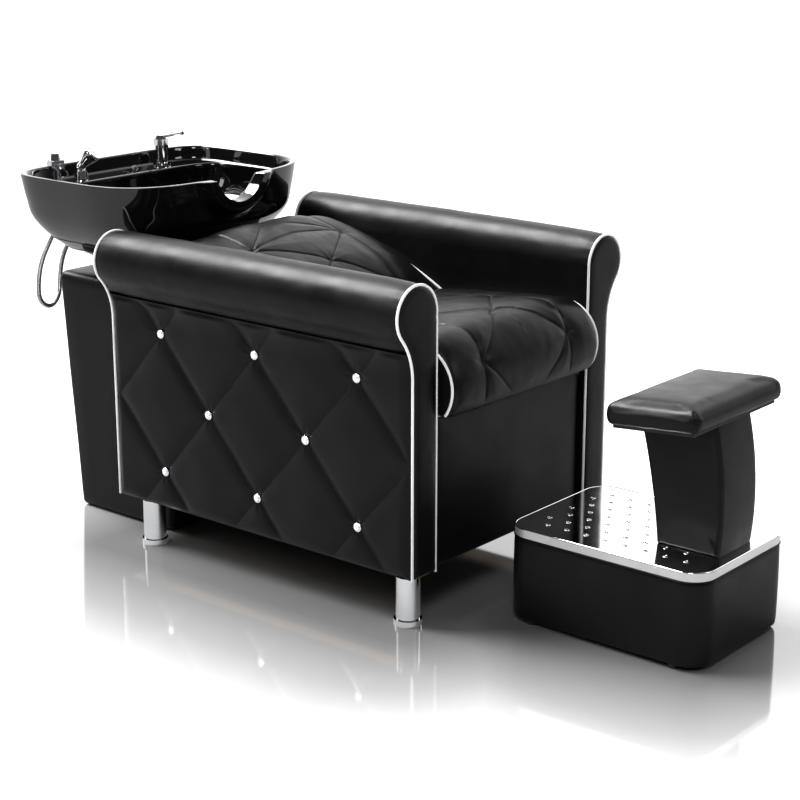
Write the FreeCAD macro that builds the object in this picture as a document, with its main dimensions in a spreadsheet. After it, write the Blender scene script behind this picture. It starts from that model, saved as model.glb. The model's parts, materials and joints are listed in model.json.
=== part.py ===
import FreeCAD, Part
import math
import os
import re
from FreeCAD import Placement, Rotation, Vector

# A salon shampoo backwash unit: an upholstered armchair whose back runs up to a tilting
# ceramic bowl on an upholstered pedestal, with a separate foot box and leg rest in front.
# Millimetres.  +X is the way the sitter faces, +Y the sitter's left, +Z up.  The origin is on
# the floor, midway between the rear of the bowl and the front of the foot box.

DIMENSIONS = {
    # arms
    "arm_front": 345, "arm_length": 853, "arm_inner": 256, "arm_outer": 336, "arm_low": 102,
    "roll_radius": 63.5, "roll_level": 638.5, "neck_radius": 130, "skin": 20, "core_top": 600,
    "seam_level": 566,
    "welt_radius": 3.5, "button_middle": -75, "button_pitch": 277, "button_rise": 155, "button_level": 340,
    "button_radius": 6.5, "button_proud": 5,
    # legs and levelling glides
    "leg_radius": 25, "leg_wall": 3, "leg_y": 310, "leg_front_x": 312, "leg_rear_x": -420,
    "glide_radius": 29, "glide_height": 12, "stem_radius": 5, "stem_length": 30, "stem_gap": 0.05,
    # seat
    "seat_half": 247, "seat_low": 420, "seat_rear": -42, "seat_board": 18, "rail_high": 67,
    "rail_thick": 45, "front_rail_x": 262, "rear_rail_x": -105, "panel_x": 312, "panel_thick": 20,
    "board_front": 330, "board_rear": -80, "bolt_radius": 4, "bolt_length": 84, "bolt_head": 7,
    "crown_half": 150, "seat_crown": 26, "back_crown": 46,
    # back
    "back_low_x": -62, "back_low_z": 446, "back_slope": 19.36, "back_board_front": -64,
    "back_board_rear": -428, "back_board_half": 235, "bearer_low": 335, "bearer_thick": 30,
    "bearer_y": 190,
    # pedestal
    "pedestal_front": -432, "pedestal_rear": -745, "pedestal_lean": 43, "pedestal_half": 245,
    "pedestal_top": 560, "pedestal_wall": 20, "plinth_height": 15, "plinth_inset": 12,
    "screw_radius": 5, "screw_proud": 2,
    # tilting bracket
    "tilt_x": -670, "tilt_z": 588, "tilt_pin_radius": 6, "pin_gap": 0.05, "plate_thick": 6,
    "plate_half_x": 45, "plate_half_y": 95, "ear_inner": 62, "ear_outer": 74, "ear_half": 10,
    "cradle_low": 578, "cradle_pocket_y": 75, "cradle_pocket_x": 52, "cradle_roof": 600,
    "waste_x": -700, "waste_way": 28,
    # bowl
    "bowl_x": -670, "bowl_half_length": 225, "bowl_half_width": 302, "rim": 783, "bowl_low": 606,
    "rim_wide": 12, "deck": 750, "deck_thick": 12, "notch_radius": 78, "notch_level": 806,
    "lip_thick": 38, "lip_front": -428, "lip_rear": -470, "waste_hole": 24, "basin_floor": 625,
    # fittings on the deck
    "fitting_x": -845, "mixer_y": 148, "holder_y": -112, "breaker_y": -187, "shank_radius": 10.5,
    "shank_low": 690, "deck_hole": 11, "nut_radius": 16, "nut_thick": 10, "hose_radius": 6,
    # foot box and leg rest
    "box_rear": 445, "box_length": 450, "box_half": 167.5, "box_corner": 50, "box_height": 200,
    "box_low": 8, "box_wall": 18, "plate_skin": 2, "plate_rim": 18, "hole_radius": 3.3,
    "hole_pitch_x": 45.5, "hole_pitch_y": 38.7, "post_half": 64, "pad_half": 162,
    "pad_length": 200, "pad_thick": 38, "pad_board": 10, "pad_tilt": 4.7,
}

os.makedirs("parts", exist_ok=True)
doc = FreeCAD.newDocument("backwash_unit")
sheet = doc.addObject("Spreadsheet::Sheet", "dims")
for row, (alias, value) in enumerate(DIMENSIONS.items(), start=1):
    sheet.set("A%d" % row, alias)
    sheet.set("B%d" % row, str(value))
    sheet.setAlias("B%d" % row, alias)
doc.recompute()

NODES = []
CLEARANCE = 0.3
OUTLINE_POINTS = 48
FRONT_POWER = 3.2
REAR_POWER = 6.0


def size(alias):
    """The value of one driving dimension."""
    return float(sheet.get(alias))


def bound(text):
    """An expression on the sheet, written with the aliases alone."""
    return re.sub(r"[a-z][a-z_]*", lambda word: "dims." + word.group(), text)


def bind(thing, **expressions):
    for name, text in expressions.items():
        thing.setExpression(name, bound(text))


def place(thing, x="0", y="0", z="0"):
    for axis, text in zip("xyz", (x, y, z)):
        thing.setExpression("Placement.Base." + axis, bound(text))


def node(thing, label):
    """Marks an object as a finished sub-part."""
    thing.Label = label
    NODES.append(thing)
    return thing


def block(label, length, width, height, x, y, z):
    board = doc.addObject("Part::Box", label)
    bind(board, Length=length, Width=width, Height=height)
    place(board, x, y, z)
    return board


def rod(label, radius, height, x, y, z, axis=Vector(0, 0, 1)):
    bar = doc.addObject("Part::Cylinder", label)
    bind(bar, Radius=radius, Height=height)
    bar.Placement.Rotation = Rotation(Vector(0, 0, 1), axis)
    place(bar, x, y, z)
    return bar


def cone(label, low_radius, high_radius, height, x, y, z, axis=Vector(0, 0, 1)):
    taper = doc.addObject("Part::Cone", label)
    bind(taper, Radius1=low_radius, Radius2=high_radius, Height=height)
    taper.Placement.Rotation = Rotation(Vector(0, 0, 1), axis)
    place(taper, x, y, z)
    return taper


def fused(label, *things):
    union = doc.addObject("Part::MultiFuse", label)
    union.Shapes = list(things)
    return union


def cut(label, base, *tools):
    tool = tools[0] if len(tools) == 1 else fused(label + "_tools", *tools)
    result = doc.addObject("Part::Cut", label)
    result.Base = base
    result.Tool = tool
    return result


def group(label, *things):
    """Separate identical solids that share one node."""
    compound = doc.addObject("Part::Compound", label)
    compound.Links = list(things)
    return compound


def flat(first, second):
    """A point of a sketch."""
    return Vector(first, second, 0)


def edges_through(start, *steps):
    """Closed outline: each step is a point, or a (middle, end) pair for an arc."""
    edges = []
    here = start
    for step in steps + (start,):
        if isinstance(step, tuple):
            edges.append(Part.Arc(here, step[0], step[1]))
            here = step[1]
        elif (step - here).Length > 1e-6:
            edges.append(Part.LineSegment(here, step))
            here = step
    return edges


def slab(label, role, edges, thickness, x="0", y="0", z="0"):
    """A body padded from an outline on one of its own origin planes."""
    body = doc.addObject("PartDesign::Body", label)
    sketch = body.newObject("Sketcher::SketchObject", label + "_sketch")
    plane = next(item for item in body.Origin.OriginFeatures if item.Role == role)
    sketch.AttachmentSupport = [(plane, "")]
    sketch.MapMode = "FlatFace"
    for edge in edges:
        sketch.addGeometry(edge, False)
    pad = body.newObject("PartDesign::Pad", label + "_pad")
    pad.Profile = sketch
    bind(pad, Length=thickness)
    body.Tip = pad
    place(body, x, y, z)
    return body


def formed(label, shape):
    """A sub-part whose surface only Part's own functions can make."""
    feature = doc.addObject("Part::Feature", label)
    feature.Shape = shape
    feature.Placement = Placement()
    return feature


# ------------------------------------------------------------------ arms

def around_neck(y, z, radius, turn):
    return y + radius * math.cos(turn), z + radius * math.sin(turn)


def keyhole_points(inset):
    """Named points of an arm's end outline: inner side, roll, neck and outer side."""
    roll_y = size("arm_inner") + size("roll_radius")
    roll_z = size("roll_level")
    neck_y = size("arm_outer") + size("neck_radius")
    reach = size("roll_radius") + size("neck_radius")
    neck_z = roll_z - math.sqrt(reach ** 2 - (neck_y - roll_y) ** 2)
    roll = size("roll_radius") - inset
    neck = size("neck_radius") + inset
    fall = math.atan2(roll_z - neck_z, neck_y - roll_y)
    crest = (math.pi - fall) / 2
    hollow = math.pi - fall / 2
    seam = math.pi - math.asin((size("seam_level") - neck_z) / neck)
    return {
        "inner": (roll_y - roll, roll_z),
        "crest": (roll_y + roll * math.cos(crest), roll_z + roll * math.sin(crest)),
        "join": (roll_y + roll * math.cos(fall), roll_z - roll * math.sin(fall)),
        "hollow": (neck_y + neck * math.cos(hollow), neck_z + neck * math.sin(hollow)),
        "outer": (size("arm_outer") - inset, neck_z),
        "seam": around_neck(neck_y, neck_z, neck, seam),
        "above_seam": around_neck(neck_y, neck_z, neck, (seam + math.pi - fall) / 2),
        "below_seam": around_neck(neck_y, neck_z, neck, (seam + math.pi) / 2),
    }


def keyhole_edges(side, inset):
    """Closed end outline of an arm, standing on the arm's lower edge."""
    spot = {name: flat(side * y, z) for name, (y, z) in keyhole_points(inset).items()}
    low = size("arm_low")
    start = flat(spot["inner"].x, low)
    return edges_through(start, spot["inner"], (spot["crest"], spot["join"]),
                         (spot["hollow"], spot["outer"]), flat(spot["outer"].x, low))


def roll_edges(side):
    """Section of the upholstered roll with its inner skirt, open below for the core board."""
    spot = {name: flat(side * y, z) for name, (y, z) in keyhole_points(0).items()}
    low = size("arm_low")
    core_inner = side * (size("arm_inner") + size("skin"))
    core_outer = side * (size("arm_outer") - size("skin"))
    start = flat(spot["inner"].x, low)
    return edges_through(start, spot["inner"], (spot["crest"], spot["join"]),
                         (spot["above_seam"], spot["seam"]), flat(core_outer, spot["seam"].y),
                         flat(core_outer, size("core_top")), flat(core_inner, size("core_top")),
                         flat(core_inner, low))


def pad_edges(side):
    """Section of the tufted side, from the arm's foot to the seam under the roll."""
    spot = {name: flat(side * y, z) for name, (y, z) in keyhole_points(0).items()}
    core_outer = side * (size("arm_outer") - size("skin"))
    start = flat(core_outer, size("arm_low"))
    return edges_through(start, flat(spot["outer"].x, size("arm_low")), spot["outer"],
                         (spot["below_seam"], spot["seam"]), flat(core_outer, spot["seam"].y))


def welt_tube(side, x):
    """White welt round one end of an arm: up the inner side, over the roll, down the outer."""
    inset = size("welt_radius")
    spot = {name: Vector(x, side * y, z) for name, (y, z) in keyhole_points(inset).items()}
    low = size("arm_low")
    inner_foot = Vector(x, spot["inner"].y, low)
    outer_foot = Vector(x, spot["outer"].y, low)
    path = Part.Wire([
        Part.LineSegment(inner_foot, spot["inner"]).toShape(),
        Part.Arc(spot["inner"], spot["crest"], spot["join"]).toShape(),
        Part.Arc(spot["join"], spot["hollow"], spot["outer"]).toShape(),
        Part.LineSegment(spot["outer"], outer_foot).toShape(),
    ])
    return tube(path, inner_foot, Vector(0, 0, 1), inset)


def tube(path, start, direction, radius):
    """A round solid swept along a smooth path."""
    ring = Part.Wire([Part.Circle(start, direction, radius).toShape()])
    return path.makePipeShell([ring], True, True)


def across(side, near, wide):
    """The y expression of a box that spans near to near + wide on one side."""
    return near if side > 0 else "-(%s) - (%s)" % (near, wide)


def arm_bolt_centres():
    return ("front_rail_x + rail_thick / 2", "rear_rail_x + rail_thick / 2")


BOLT_LEVEL = "seat_low - seat_board - rail_high / 2"


def bolt_way(label, side, x, radius, near, length):
    """A cylinder across the arm, from near outwards."""
    start = near if side > 0 else "-(%s)" % near
    return rod(label, radius, length, x, start, BOLT_LEVEL, Vector(0, side, 0))


def arm(side, name):
    run = "arm_length - 4 * welt_radius"
    rear = "arm_front - arm_length + 2 * welt_radius"
    core = "arm_outer - arm_inner - 2 * skin"
    board = block(name + "_arm_core", run, core, "core_top - arm_low", rear,
                  across(side, "arm_inner + skin", core), "arm_low")
    ways = []
    for number, x in enumerate(arm_bolt_centres()):
        tag = "%s_arm_way_%d" % (name, number)
        ways.append(bolt_way(tag, side, x, "bolt_radius + 0.2", "arm_inner", "skin + 45"))
        ways.append(bolt_way(tag + "_head", side, x, "bolt_head + 2", "arm_outer - skin - 10", "30"))
    node(cut(name + "_arm_board", board, *ways), name + "_arm_board")
    roll = slab(name + "_arm_roll_full", "YZ_Plane", roll_edges(side), run, rear)
    holes = [bolt_way("%s_skirt_way_%d" % (name, number), side, x, "bolt_radius + 0.2",
                      "arm_inner - 5", "skin + 10") for number, x in enumerate(arm_bolt_centres())]
    node(cut(name + "_arm_roll", roll, *holes), name + "_arm_roll")
    node(slab(name + "_arm_tufted_pad", "YZ_Plane", pad_edges(side), run, rear),
         name + "_arm_tufted_pad")
    for end, x in (("front", "arm_front - 2 * welt_radius"), ("rear", "arm_front - arm_length")):
        label = "%s_arm_%s_facing" % (name, end)
        node(slab(label, "YZ_Plane", keyhole_edges(side, 2 * size("welt_radius")),
                  "2 * welt_radius", x), label)
    front = size("arm_front") - size("welt_radius")
    back = size("arm_front") - size("arm_length") + size("welt_radius")
    welts = Part.makeCompound([welt_tube(side, front), welt_tube(side, back)])
    node(formed(name + "_arm_piping", welts), name + "_arm_piping")


def button_spots():
    """Rows of three, two and three buttons, on the corners of the quilted diamonds."""
    middle = size("button_middle")
    pitch = size("button_pitch")
    rise = size("button_rise")
    level = size("button_level")
    outer_rows = [(middle + step * pitch, level + lift * rise) for lift in (1, -1)
                  for step in (-1, 0, 1)]
    return outer_rows + [(middle + step * pitch, level) for step in (-0.5, 0.5)]


def crystal_buttons():
    crystals = []
    for side, name in ((-1, "right"), (1, "left")):
        for number, (x, z) in enumerate(button_spots()):
            crystals.append(cone("%s_button_%d" % (name, number), "button_radius",
                                 "button_radius * 0.55", "button_proud", "%.3f" % x,
                                 "%d * arm_outer" % side, "%.3f" % z, Vector(0, side, 0)))
    node(group("arm_crystal_buttons", *crystals), "arm_crystal_buttons")


def arm_bolts():
    bolts = []
    for side, name in ((-1, "right"), (1, "left")):
        for number, x in enumerate(arm_bolt_centres()):
            tag = "%s_bolt_%d" % (name, number)
            shank = bolt_way(tag + "_shank", side, x, "bolt_radius",
                             "arm_outer - skin - 10 - bolt_length", "bolt_length")
            head = bolt_way(tag + "_head", side, x, "bolt_head", "arm_outer - skin - 10", "5")
            bolts.append(fused(tag, shank, head))
    node(group("arm_bolts", *bolts), "arm_bolts")


# ------------------------------------------------------------------ legs

def leg(side, name, end, x):
    label = "%s_%s_leg" % (name, end)
    y = "%d * leg_y" % side
    plug = "glide_height + stem_length + 4"
    outside = rod(label + "_tube", "leg_radius", "arm_low - glide_height", x, y, "glide_height")
    inside = rod(label + "_inside", "leg_radius - leg_wall", "arm_low", x, y, plug)
    stem_way = rod(label + "_stem_way", "stem_radius + stem_gap", plug, x, y, "0")
    node(cut(label, outside, inside, stem_way), label)
    glide = "%s_%s_glide" % (name, end)
    foot = rod(glide + "_foot", "glide_radius", "glide_height", x, y, "0")
    stem = rod(glide + "_stem", "stem_radius", "stem_length + glide_height", x, y, "0")
    node(fused(glide, foot, stem), glide)


# ------------------------------------------------------------------ seat and back

def seat_side(inset):
    """Side outline of the seat cushion: waterfall front, then the top back to the hinge line."""
    return (flat(352 - inset, size("seat_low") + 2 * inset), flat(375 - inset, 487),
            flat(309, 563 - inset), flat(size("seat_rear"), 538 - inset))


def back_side(inset):
    """Side outline of the back cushion: long crowned top, then the rounded upper end."""
    return (flat(-46 - inset, 534), flat(-240, 618 - inset), flat(-438, 655 - inset),
            flat(-461 + inset, 622), flat(-448, 586 + inset))


def crowned(label, full, swollen):
    """A cushion: its whole width, and a thicker middle where the stuffing stands proud."""
    wide = slab(label + "_side", "XZ_Plane", full, "2 * seat_half", y="seat_half")
    middle = slab(label + "_middle", "XZ_Plane", swollen, "2 * crown_half", y="crown_half")
    node(fused(label, wide, middle), label)


def soft_bodies():
    foot, nose, crest, tail = seat_side(0)
    base = flat(size("seat_rear"), size("seat_low"))
    rise = flat(0, size("seat_crown"))
    bulge = flat(size("seat_crown") / 3, 0)
    crowned("seat_cushion", edges_through(foot, (nose, crest), tail, base),
            edges_through(foot, (nose + bulge, crest + rise), tail, base))
    low, crown, top, end, heel = back_side(0)
    under = flat(size("back_low_x"), size("back_low_z"))
    lift = flat(0, size("back_crown"))
    crowned("back_cushion", edges_through(low, (crown, top), (end, heel), under),
            edges_through(low, (crown + lift, top), (end, heel), under))


def side_welts(label, middle_path):
    """One welt against each side face of a cushion."""
    welts = []
    offset = size("seat_half") + size("welt_radius")
    for side in (-1, 1):
        path, start, direction = middle_path(side * offset)
        welts.append(tube(path, start, direction, size("welt_radius")))
    node(formed(label, Part.makeCompound(welts)), label)


def standing(point, y):
    return Vector(point.x, y, point.y)


def seat_welt_path(y):
    foot, nose, crest, tail = [standing(point, y) for point in seat_side(size("welt_radius"))]
    arc = Part.Arc(foot, nose, crest)
    path = Part.Wire([arc.toShape(), Part.LineSegment(crest, tail).toShape()])
    return path, foot, arc.tangent(arc.FirstParameter)[0]


def back_welt_path(y):
    points = [standing(point, y) for point in back_side(size("welt_radius"))]
    low, crown, top, end, heel = points
    arc = Part.Arc(low, crown, top)
    path = Part.Wire([arc.toShape(), Part.Arc(top, end, heel).toShape()])
    return path, low, arc.tangent(arc.FirstParameter)[0]


def back_underside(x, drop=0):
    """Height of the back cushion's underside at x, less a board measured square to it."""
    slope = math.radians(size("back_slope"))
    rise = (size("back_low_x") - x) * math.tan(slope)
    return size("back_low_z") + rise - drop / math.cos(slope)


def seat_frame():
    board_low = "seat_low - seat_board"
    board = block("seat_board", "board_front - board_rear", "2 * seat_half", "seat_board",
                  "board_rear", "-seat_half", board_low)
    node(board, "seat_board")
    rails = []
    for number, x in enumerate(("front_rail_x", "rear_rail_x")):
        rail = block("cross_rail_%d_blank" % number, "rail_thick", "2 * arm_inner", "rail_high", x,
                     "-arm_inner", "seat_low - seat_board - rail_high")
        ways = [bolt_way("cross_rail_%d_way_%s" % (number, name), side, x + " + rail_thick / 2",
                         "bolt_radius + 0.2", "arm_inner - 40", "60")
                for side, name in ((-1, "right"), (1, "left"))]
        rails.append(cut("cross_rail_%d" % number, rail, *ways))
    node(group("seat_cross_rails", *rails), "seat_cross_rails")
    panel = block("front_panel", "panel_thick", "2 * seat_half", "seat_low - seat_board - arm_low - 4",
                  "panel_x", "-seat_half", "arm_low + 2")
    node(panel, "front_panel")


def back_frame():
    front = size("back_board_front")
    rear = size("back_board_rear")
    board = size("seat_board")
    outline = edges_through(flat(front, back_underside(front)), flat(rear, back_underside(rear)),
                            flat(rear, back_underside(rear, board)),
                            flat(front, back_underside(front, board)))
    node(slab("back_board", "XZ_Plane", outline, "2 * back_board_half", y="back_board_half"),
         "back_board")
    start = size("rear_rail_x") - 2
    low = size("bearer_low")
    wedge = edges_through(flat(start, low), flat(start, back_underside(start, board)),
                          flat(rear, back_underside(rear, board)), flat(rear, low))
    bearers = [slab("back_bearer_%s" % name, "XZ_Plane", wedge, "bearer_thick", y=y)
               for name, y in (("right", "-bearer_y"), ("left", "bearer_y + bearer_thick"))]
    node(group("back_bearers", *bearers), "back_bearers")


# ------------------------------------------------------------------ pedestal

def lean_at(level):
    """x of the pedestal's leaning rear face at a height."""
    low = size("plinth_height")
    share = (level - low) / (size("pedestal_top") - low)
    return size("pedestal_rear") - share * size("pedestal_lean")


def pedestal():
    low = size("plinth_height")
    wall = size("pedestal_wall")
    high = size("pedestal_top") - wall
    front = size("pedestal_front")
    node(block("pedestal_plinth", "pedestal_front - pedestal_rear - 2 * plinth_inset",
               "2 * (pedestal_half - plinth_inset)", "plinth_height", "pedestal_rear + plinth_inset",
               "plinth_inset - pedestal_half", "0"), "pedestal_plinth")
    cheek = edges_through(flat(front - wall, low), flat(lean_at(low) + wall, low),
                          flat(lean_at(high) + wall, high), flat(front - wall, high))
    for name, y in (("right", "pedestal_wall - pedestal_half"), ("left", "pedestal_half")):
        label = "pedestal_%s_side" % name
        node(slab(label, "XZ_Plane", cheek, "pedestal_wall", y=y), label)
    node(block("pedestal_front_board", "pedestal_wall", "2 * pedestal_half",
               "pedestal_top - pedestal_wall - plinth_height", "pedestal_front - pedestal_wall",
               "-pedestal_half", "plinth_height"), "pedestal_front_board")
    sheet_side = edges_through(flat(lean_at(low), low), flat(lean_at(high), high),
                               flat(lean_at(high) + wall, high), flat(lean_at(low) + wall, low))
    node(slab("pedestal_rear_panel", "XZ_Plane", sheet_side, "2 * pedestal_half",
              y="pedestal_half"), "pedestal_rear_panel")
    lid = block("pedestal_lid", "pedestal_front - pedestal_rear + pedestal_lean",
                "2 * pedestal_half", "pedestal_wall", "pedestal_rear - pedestal_lean",
                "-pedestal_half", "pedestal_top - pedestal_wall")
    way = rod("pedestal_lid_way", "waste_way", "40", "waste_x - 5", "0", "pedestal_top - 30")
    node(cut("pedestal_top", lid, way), "pedestal_top")
    rear_face = Vector(-(high - low), 0, -(lean_at(low) - lean_at(high)))
    screws = []
    for y in (-1, 1):
        for level in (low + 40, high - 40):
            tag = "panel_screw_%s_%d" % ("right" if y < 0 else "left", level)
            screws.append(rod(tag, "screw_radius", "screw_proud", "%.3f" % lean_at(level),
                              "%d * (pedestal_half - 30)" % y, "%.3f" % level, rear_face))
    node(group("rear_panel_screws", *screws), "rear_panel_screws")


# ------------------------------------------------------------------ tilting bracket

def tilt_bracket():
    plate = block("tilt_plate", "2 * plate_half_x", "2 * plate_half_y", "plate_thick",
                  "tilt_x - plate_half_x", "-plate_half_y", "pedestal_top")
    notch = rod("tilt_plate_notch", "waste_way", "30", "waste_x - 5", "0", "pedestal_top - 10")
    sole = cut("tilt_sole", plate, notch)
    ears = []
    for side, name in ((-1, "right"), (1, "left")):
        wide = "ear_outer - ear_inner"
        ears.append(block("tilt_ear_" + name, "2 * ear_half", wide, "tilt_z - pedestal_top",
                          "tilt_x - ear_half", across(side, "ear_inner", wide), "pedestal_top"))
        start = "%d * ear_inner" % side
        ears.append(rod("tilt_ear_head_" + name, "ear_half", wide, "tilt_x", start, "tilt_z",
                        Vector(0, side, 0)))
    bore = rod("tilt_bore", "tilt_pin_radius + pin_gap", "300", "tilt_x", "-150", "tilt_z",
               Vector(0, 1, 0))
    node(cut("tilt_base", fused("tilt_base_blank", sole, *ears), bore), "tilt_base")
    node(rod("tilt_pin", "tilt_pin_radius", "2 * plate_half_y", "tilt_x", "-plate_half_y", "tilt_z",
             Vector(0, 1, 0)), "tilt_pin")


def rectangle(half_x, half_y, level):
    x = size("tilt_x")
    corners = [Vector(x + i * half_x, j * half_y, level) for i, j in ((-1, -1), (1, -1), (1, 1), (-1, 1))]
    return Part.makePolygon(corners + corners[:1])


def bowl_cradle():
    """Tapered black block between the tilt pin and the bowl, pocketed for the fixed ears."""
    low = size("cradle_low")
    top = size("bowl_low")
    body = Part.makeLoft([rectangle(69, 150, low), rectangle(111, 200, top)], True, True)
    half_x = size("cradle_pocket_x")
    half_y = size("cradle_pocket_y")
    pocket = Part.makeBox(2 * half_x, 2 * half_y, size("cradle_roof") - low + 5,
                          Vector(size("tilt_x") - half_x, -half_y, low - 5))
    bore = Part.makeCylinder(size("tilt_pin_radius") + size("pin_gap"), 2 * size("plate_half_y") + 1,
                             Vector(size("tilt_x"), -size("plate_half_y") - 0.5, size("tilt_z")),
                             Vector(0, 1, 0))
    way = Part.makeCylinder(size("waste_hole"), 60, Vector(size("waste_x"), 0, low - 10))
    node(formed("bowl_cradle", body.cut(pocket).cut(bore).cut(way)), "bowl_cradle")


# ------------------------------------------------------------------ bowl

def bowl_outline(centre, half_length, half_width, level):
    """Closed curve in plan: a rounded rectangle with squarer corners at the rear."""
    points = []
    for step in range(OUTLINE_POINTS):
        turn = 2 * math.pi * step / OUTLINE_POINTS
        along, side = math.cos(turn), math.sin(turn)
        power = 2 / (FRONT_POWER if along >= 0 else REAR_POWER)
        x = centre + half_length * math.copysign(abs(along) ** power, along)
        y = half_width * math.copysign(abs(side) ** power, side)
        points.append(Vector(x, y, level))
    curve = Part.BSplineCurve()
    curve.interpolate(Points=points, PeriodicFlag=True)
    return Part.Wire([curve.toShape()])


def bowl_loft(sections):
    return Part.makeLoft([bowl_outline(*section) for section in sections], True, True)


def bowl():
    x = size("bowl_x")
    length = size("bowl_half_length")
    width = size("bowl_half_width")
    rim = size("rim")
    outside = bowl_loft((
        (x, 130, 222, size("bowl_low")), (x, 170, 257, 640), (x, 207, 281, 680),
        (x, 216, 293, 725), (x, length, width, rim)))
    inset = size("rim_wide")
    deck = size("deck")
    upper = bowl_loft((
        (x, length - inset - 6, width - inset - 6, deck), (x, length - inset, width - inset, rim + 1)))
    basin = bowl_loft((
        (-655, 100, 180, size("basin_floor")), (-650, 130, 220, 645), (-640, 160, 260, 680),
        (-637, 168, 273, 710), (-635, 173, 278, deck + 1)))
    body = outside.cut(upper).cut(basin)
    level = size("notch_level")
    radius = size("notch_radius")
    lip_rear = size("lip_rear")
    lip_deep = size("lip_front") - lip_rear
    collar = Part.makeCylinder(radius + size("lip_thick"), lip_deep, Vector(lip_rear, 0, level),
                               Vector(1, 0, 0))
    collar = collar.common(Part.makeBox(lip_deep, 400, 200, Vector(lip_rear, -200, rim - 200)))
    notch = Part.makeCylinder(radius, 120, Vector(lip_rear - 40, 0, level), Vector(1, 0, 0))
    body = body.fuse(collar).cut(notch)
    under = Part.makeBox(54, 430, deck - size("deck_thick") - 590, Vector(-876, -215, 590))
    body = body.cut(under)
    for alias in ("mixer_y", "holder_y", "breaker_y"):
        body = body.cut(Part.makeCylinder(size("deck_hole"), 60,
                                          Vector(size("fitting_x"), size(alias), deck - 50)))
    waste = Part.makeCylinder(size("waste_hole"), 40, Vector(size("waste_x"), 0, 595))
    node(formed("bowl", body.cut(waste).removeSplitter()), "bowl")


def waste_fittings():
    floor = "basin_floor"
    ring = rod("flange_ring", "33", "3", "waste_x", "0", floor)
    tail = rod("flange_tail", "waste_hole - 0.5", "basin_floor - bowl_low + 1", "waste_x", "0",
               "bowl_low - 1")
    way = rod("flange_way", "19", "60", "waste_x", "0", "bowl_low - 20")
    seat = rod("flange_seat", "27", "2", "waste_x", "0", "basin_floor + 1.5")
    node(cut("drain_flange", fused("flange_blank", ring, tail), way, seat), "drain_flange")
    disc = rod("strainer_disc", "26", "1.2", "waste_x", "0", "basin_floor + 1.8")
    plug = rod("strainer_cup", "17.5", "12", "waste_x", "0", "basin_floor - 9")
    cup = rod("strainer_inside", "16", "10.5", "waste_x", "0", "basin_floor - 8")
    knob = rod("strainer_knob", "4", "6", "waste_x", "0", "basin_floor + 3")
    holes = [rod("strainer_hole_%d" % step, "2.2", "12", "waste_x + %.3f" % (11 * math.cos(turn)),
                 "%.3f" % (11 * math.sin(turn)), "basin_floor - 4")
             for step, turn in enumerate(math.radians(45 * eighth) for eighth in range(8))]
    blank = fused("strainer_blank", cut("strainer_hollow", plug, cup), disc)
    node(fused("drain_strainer", cut("strainer_bored", blank, *holes), knob), "drain_strainer")
    pipe = rod("tail_pipe", "18.5", "33", "waste_x", "0", "bowl_low - 34")
    pipe_way = rod("tail_way", "16.5", "50", "waste_x", "0", "bowl_low - 40")
    node(cut("drain_tailpiece", pipe, pipe_way), "drain_tailpiece")


# ------------------------------------------------------------------ fittings on the deck

def shank(label, y):
    return rod(label, "shank_radius", "deck - shank_low + 2", "fitting_x", y, "shank_low")


def mixer():
    ring = rod("mixer_ring", "22", "6", "fitting_x", "mixer_y", "deck")
    trunk = cone("mixer_trunk", "14.5", "17.5", "44", "fitting_x", "mixer_y", "deck + 6")
    node(fused("mixer_body", shank("mixer_shank", "mixer_y"), ring, trunk), "mixer_body")
    node(cone("mixer_head", "18.5", "18", "14.4", "fitting_x", "mixer_y", "deck + 50.3"),
         "mixer_head")
    cap = cone("mixer_cap", "18", "13", "9", "fitting_x", "mixer_y", "deck + 65")
    bar = cone("mixer_bar", "3.5", "4.5", "72", "fitting_x + 6", "mixer_y", "deck + 71",
               Vector(1, 0, 0.2))
    node(fused("mixer_lever", cap, bar), "mixer_lever")


def handset():
    collar = cone("socket_collar", "17", "14", "20", "fitting_x", "holder_y", "deck")
    cup = rod("socket_cup", "10", "14", "fitting_x", "holder_y", "deck + 7")
    way = rod("socket_way", "6.3", "100", "fitting_x", "holder_y", "shank_low - 10")
    blank = fused("socket_blank", shank("socket_shank", "holder_y"), collar)
    node(cut("handset_socket", blank, cup, way), "handset_socket")
    stub = rod("handset_stub", "5.5", "62", "fitting_x", "holder_y", "shank_low + 6")
    plug = rod("handset_plug", "9.5", "20", "fitting_x", "holder_y", "deck + 7.5")
    lean = Vector(0.406, 0.341, 0.848)
    grip = cone("handset_grip", "9.5", "13", "44", "fitting_x", "holder_y", "deck + 24", lean)
    knuckle = doc.addObject("Part::Sphere", "handset_knuckle")
    knuckle.Radius = 10.5
    place(knuckle, "fitting_x", "holder_y", "deck + 26")
    head = cone("handset_head", "13", "20", "16", "fitting_x + 17", "holder_y + 14.3", "deck + 59.6",
                lean)
    node(fused("spray_handset", stub, plug, knuckle, grip, head), "spray_handset")


def vacuum_breaker():
    base = rod("breaker_base", "16", "4", "fitting_x", "breaker_y", "deck")
    stem = cone("breaker_stem", "11", "8", "40", "fitting_x", "breaker_y", "deck + 4")
    barrel = rod("breaker_barrel", "9", "38", "fitting_x", "breaker_y - 19", "deck + 46",
                 Vector(0, 1, 0))
    cap = cone("breaker_cap", "12", "10", "16", "fitting_x", "breaker_y", "deck + 52")
    node(fused("vacuum_breaker", shank("breaker_shank", "breaker_y"), base, stem, barrel, cap),
         "vacuum_breaker")


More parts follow.
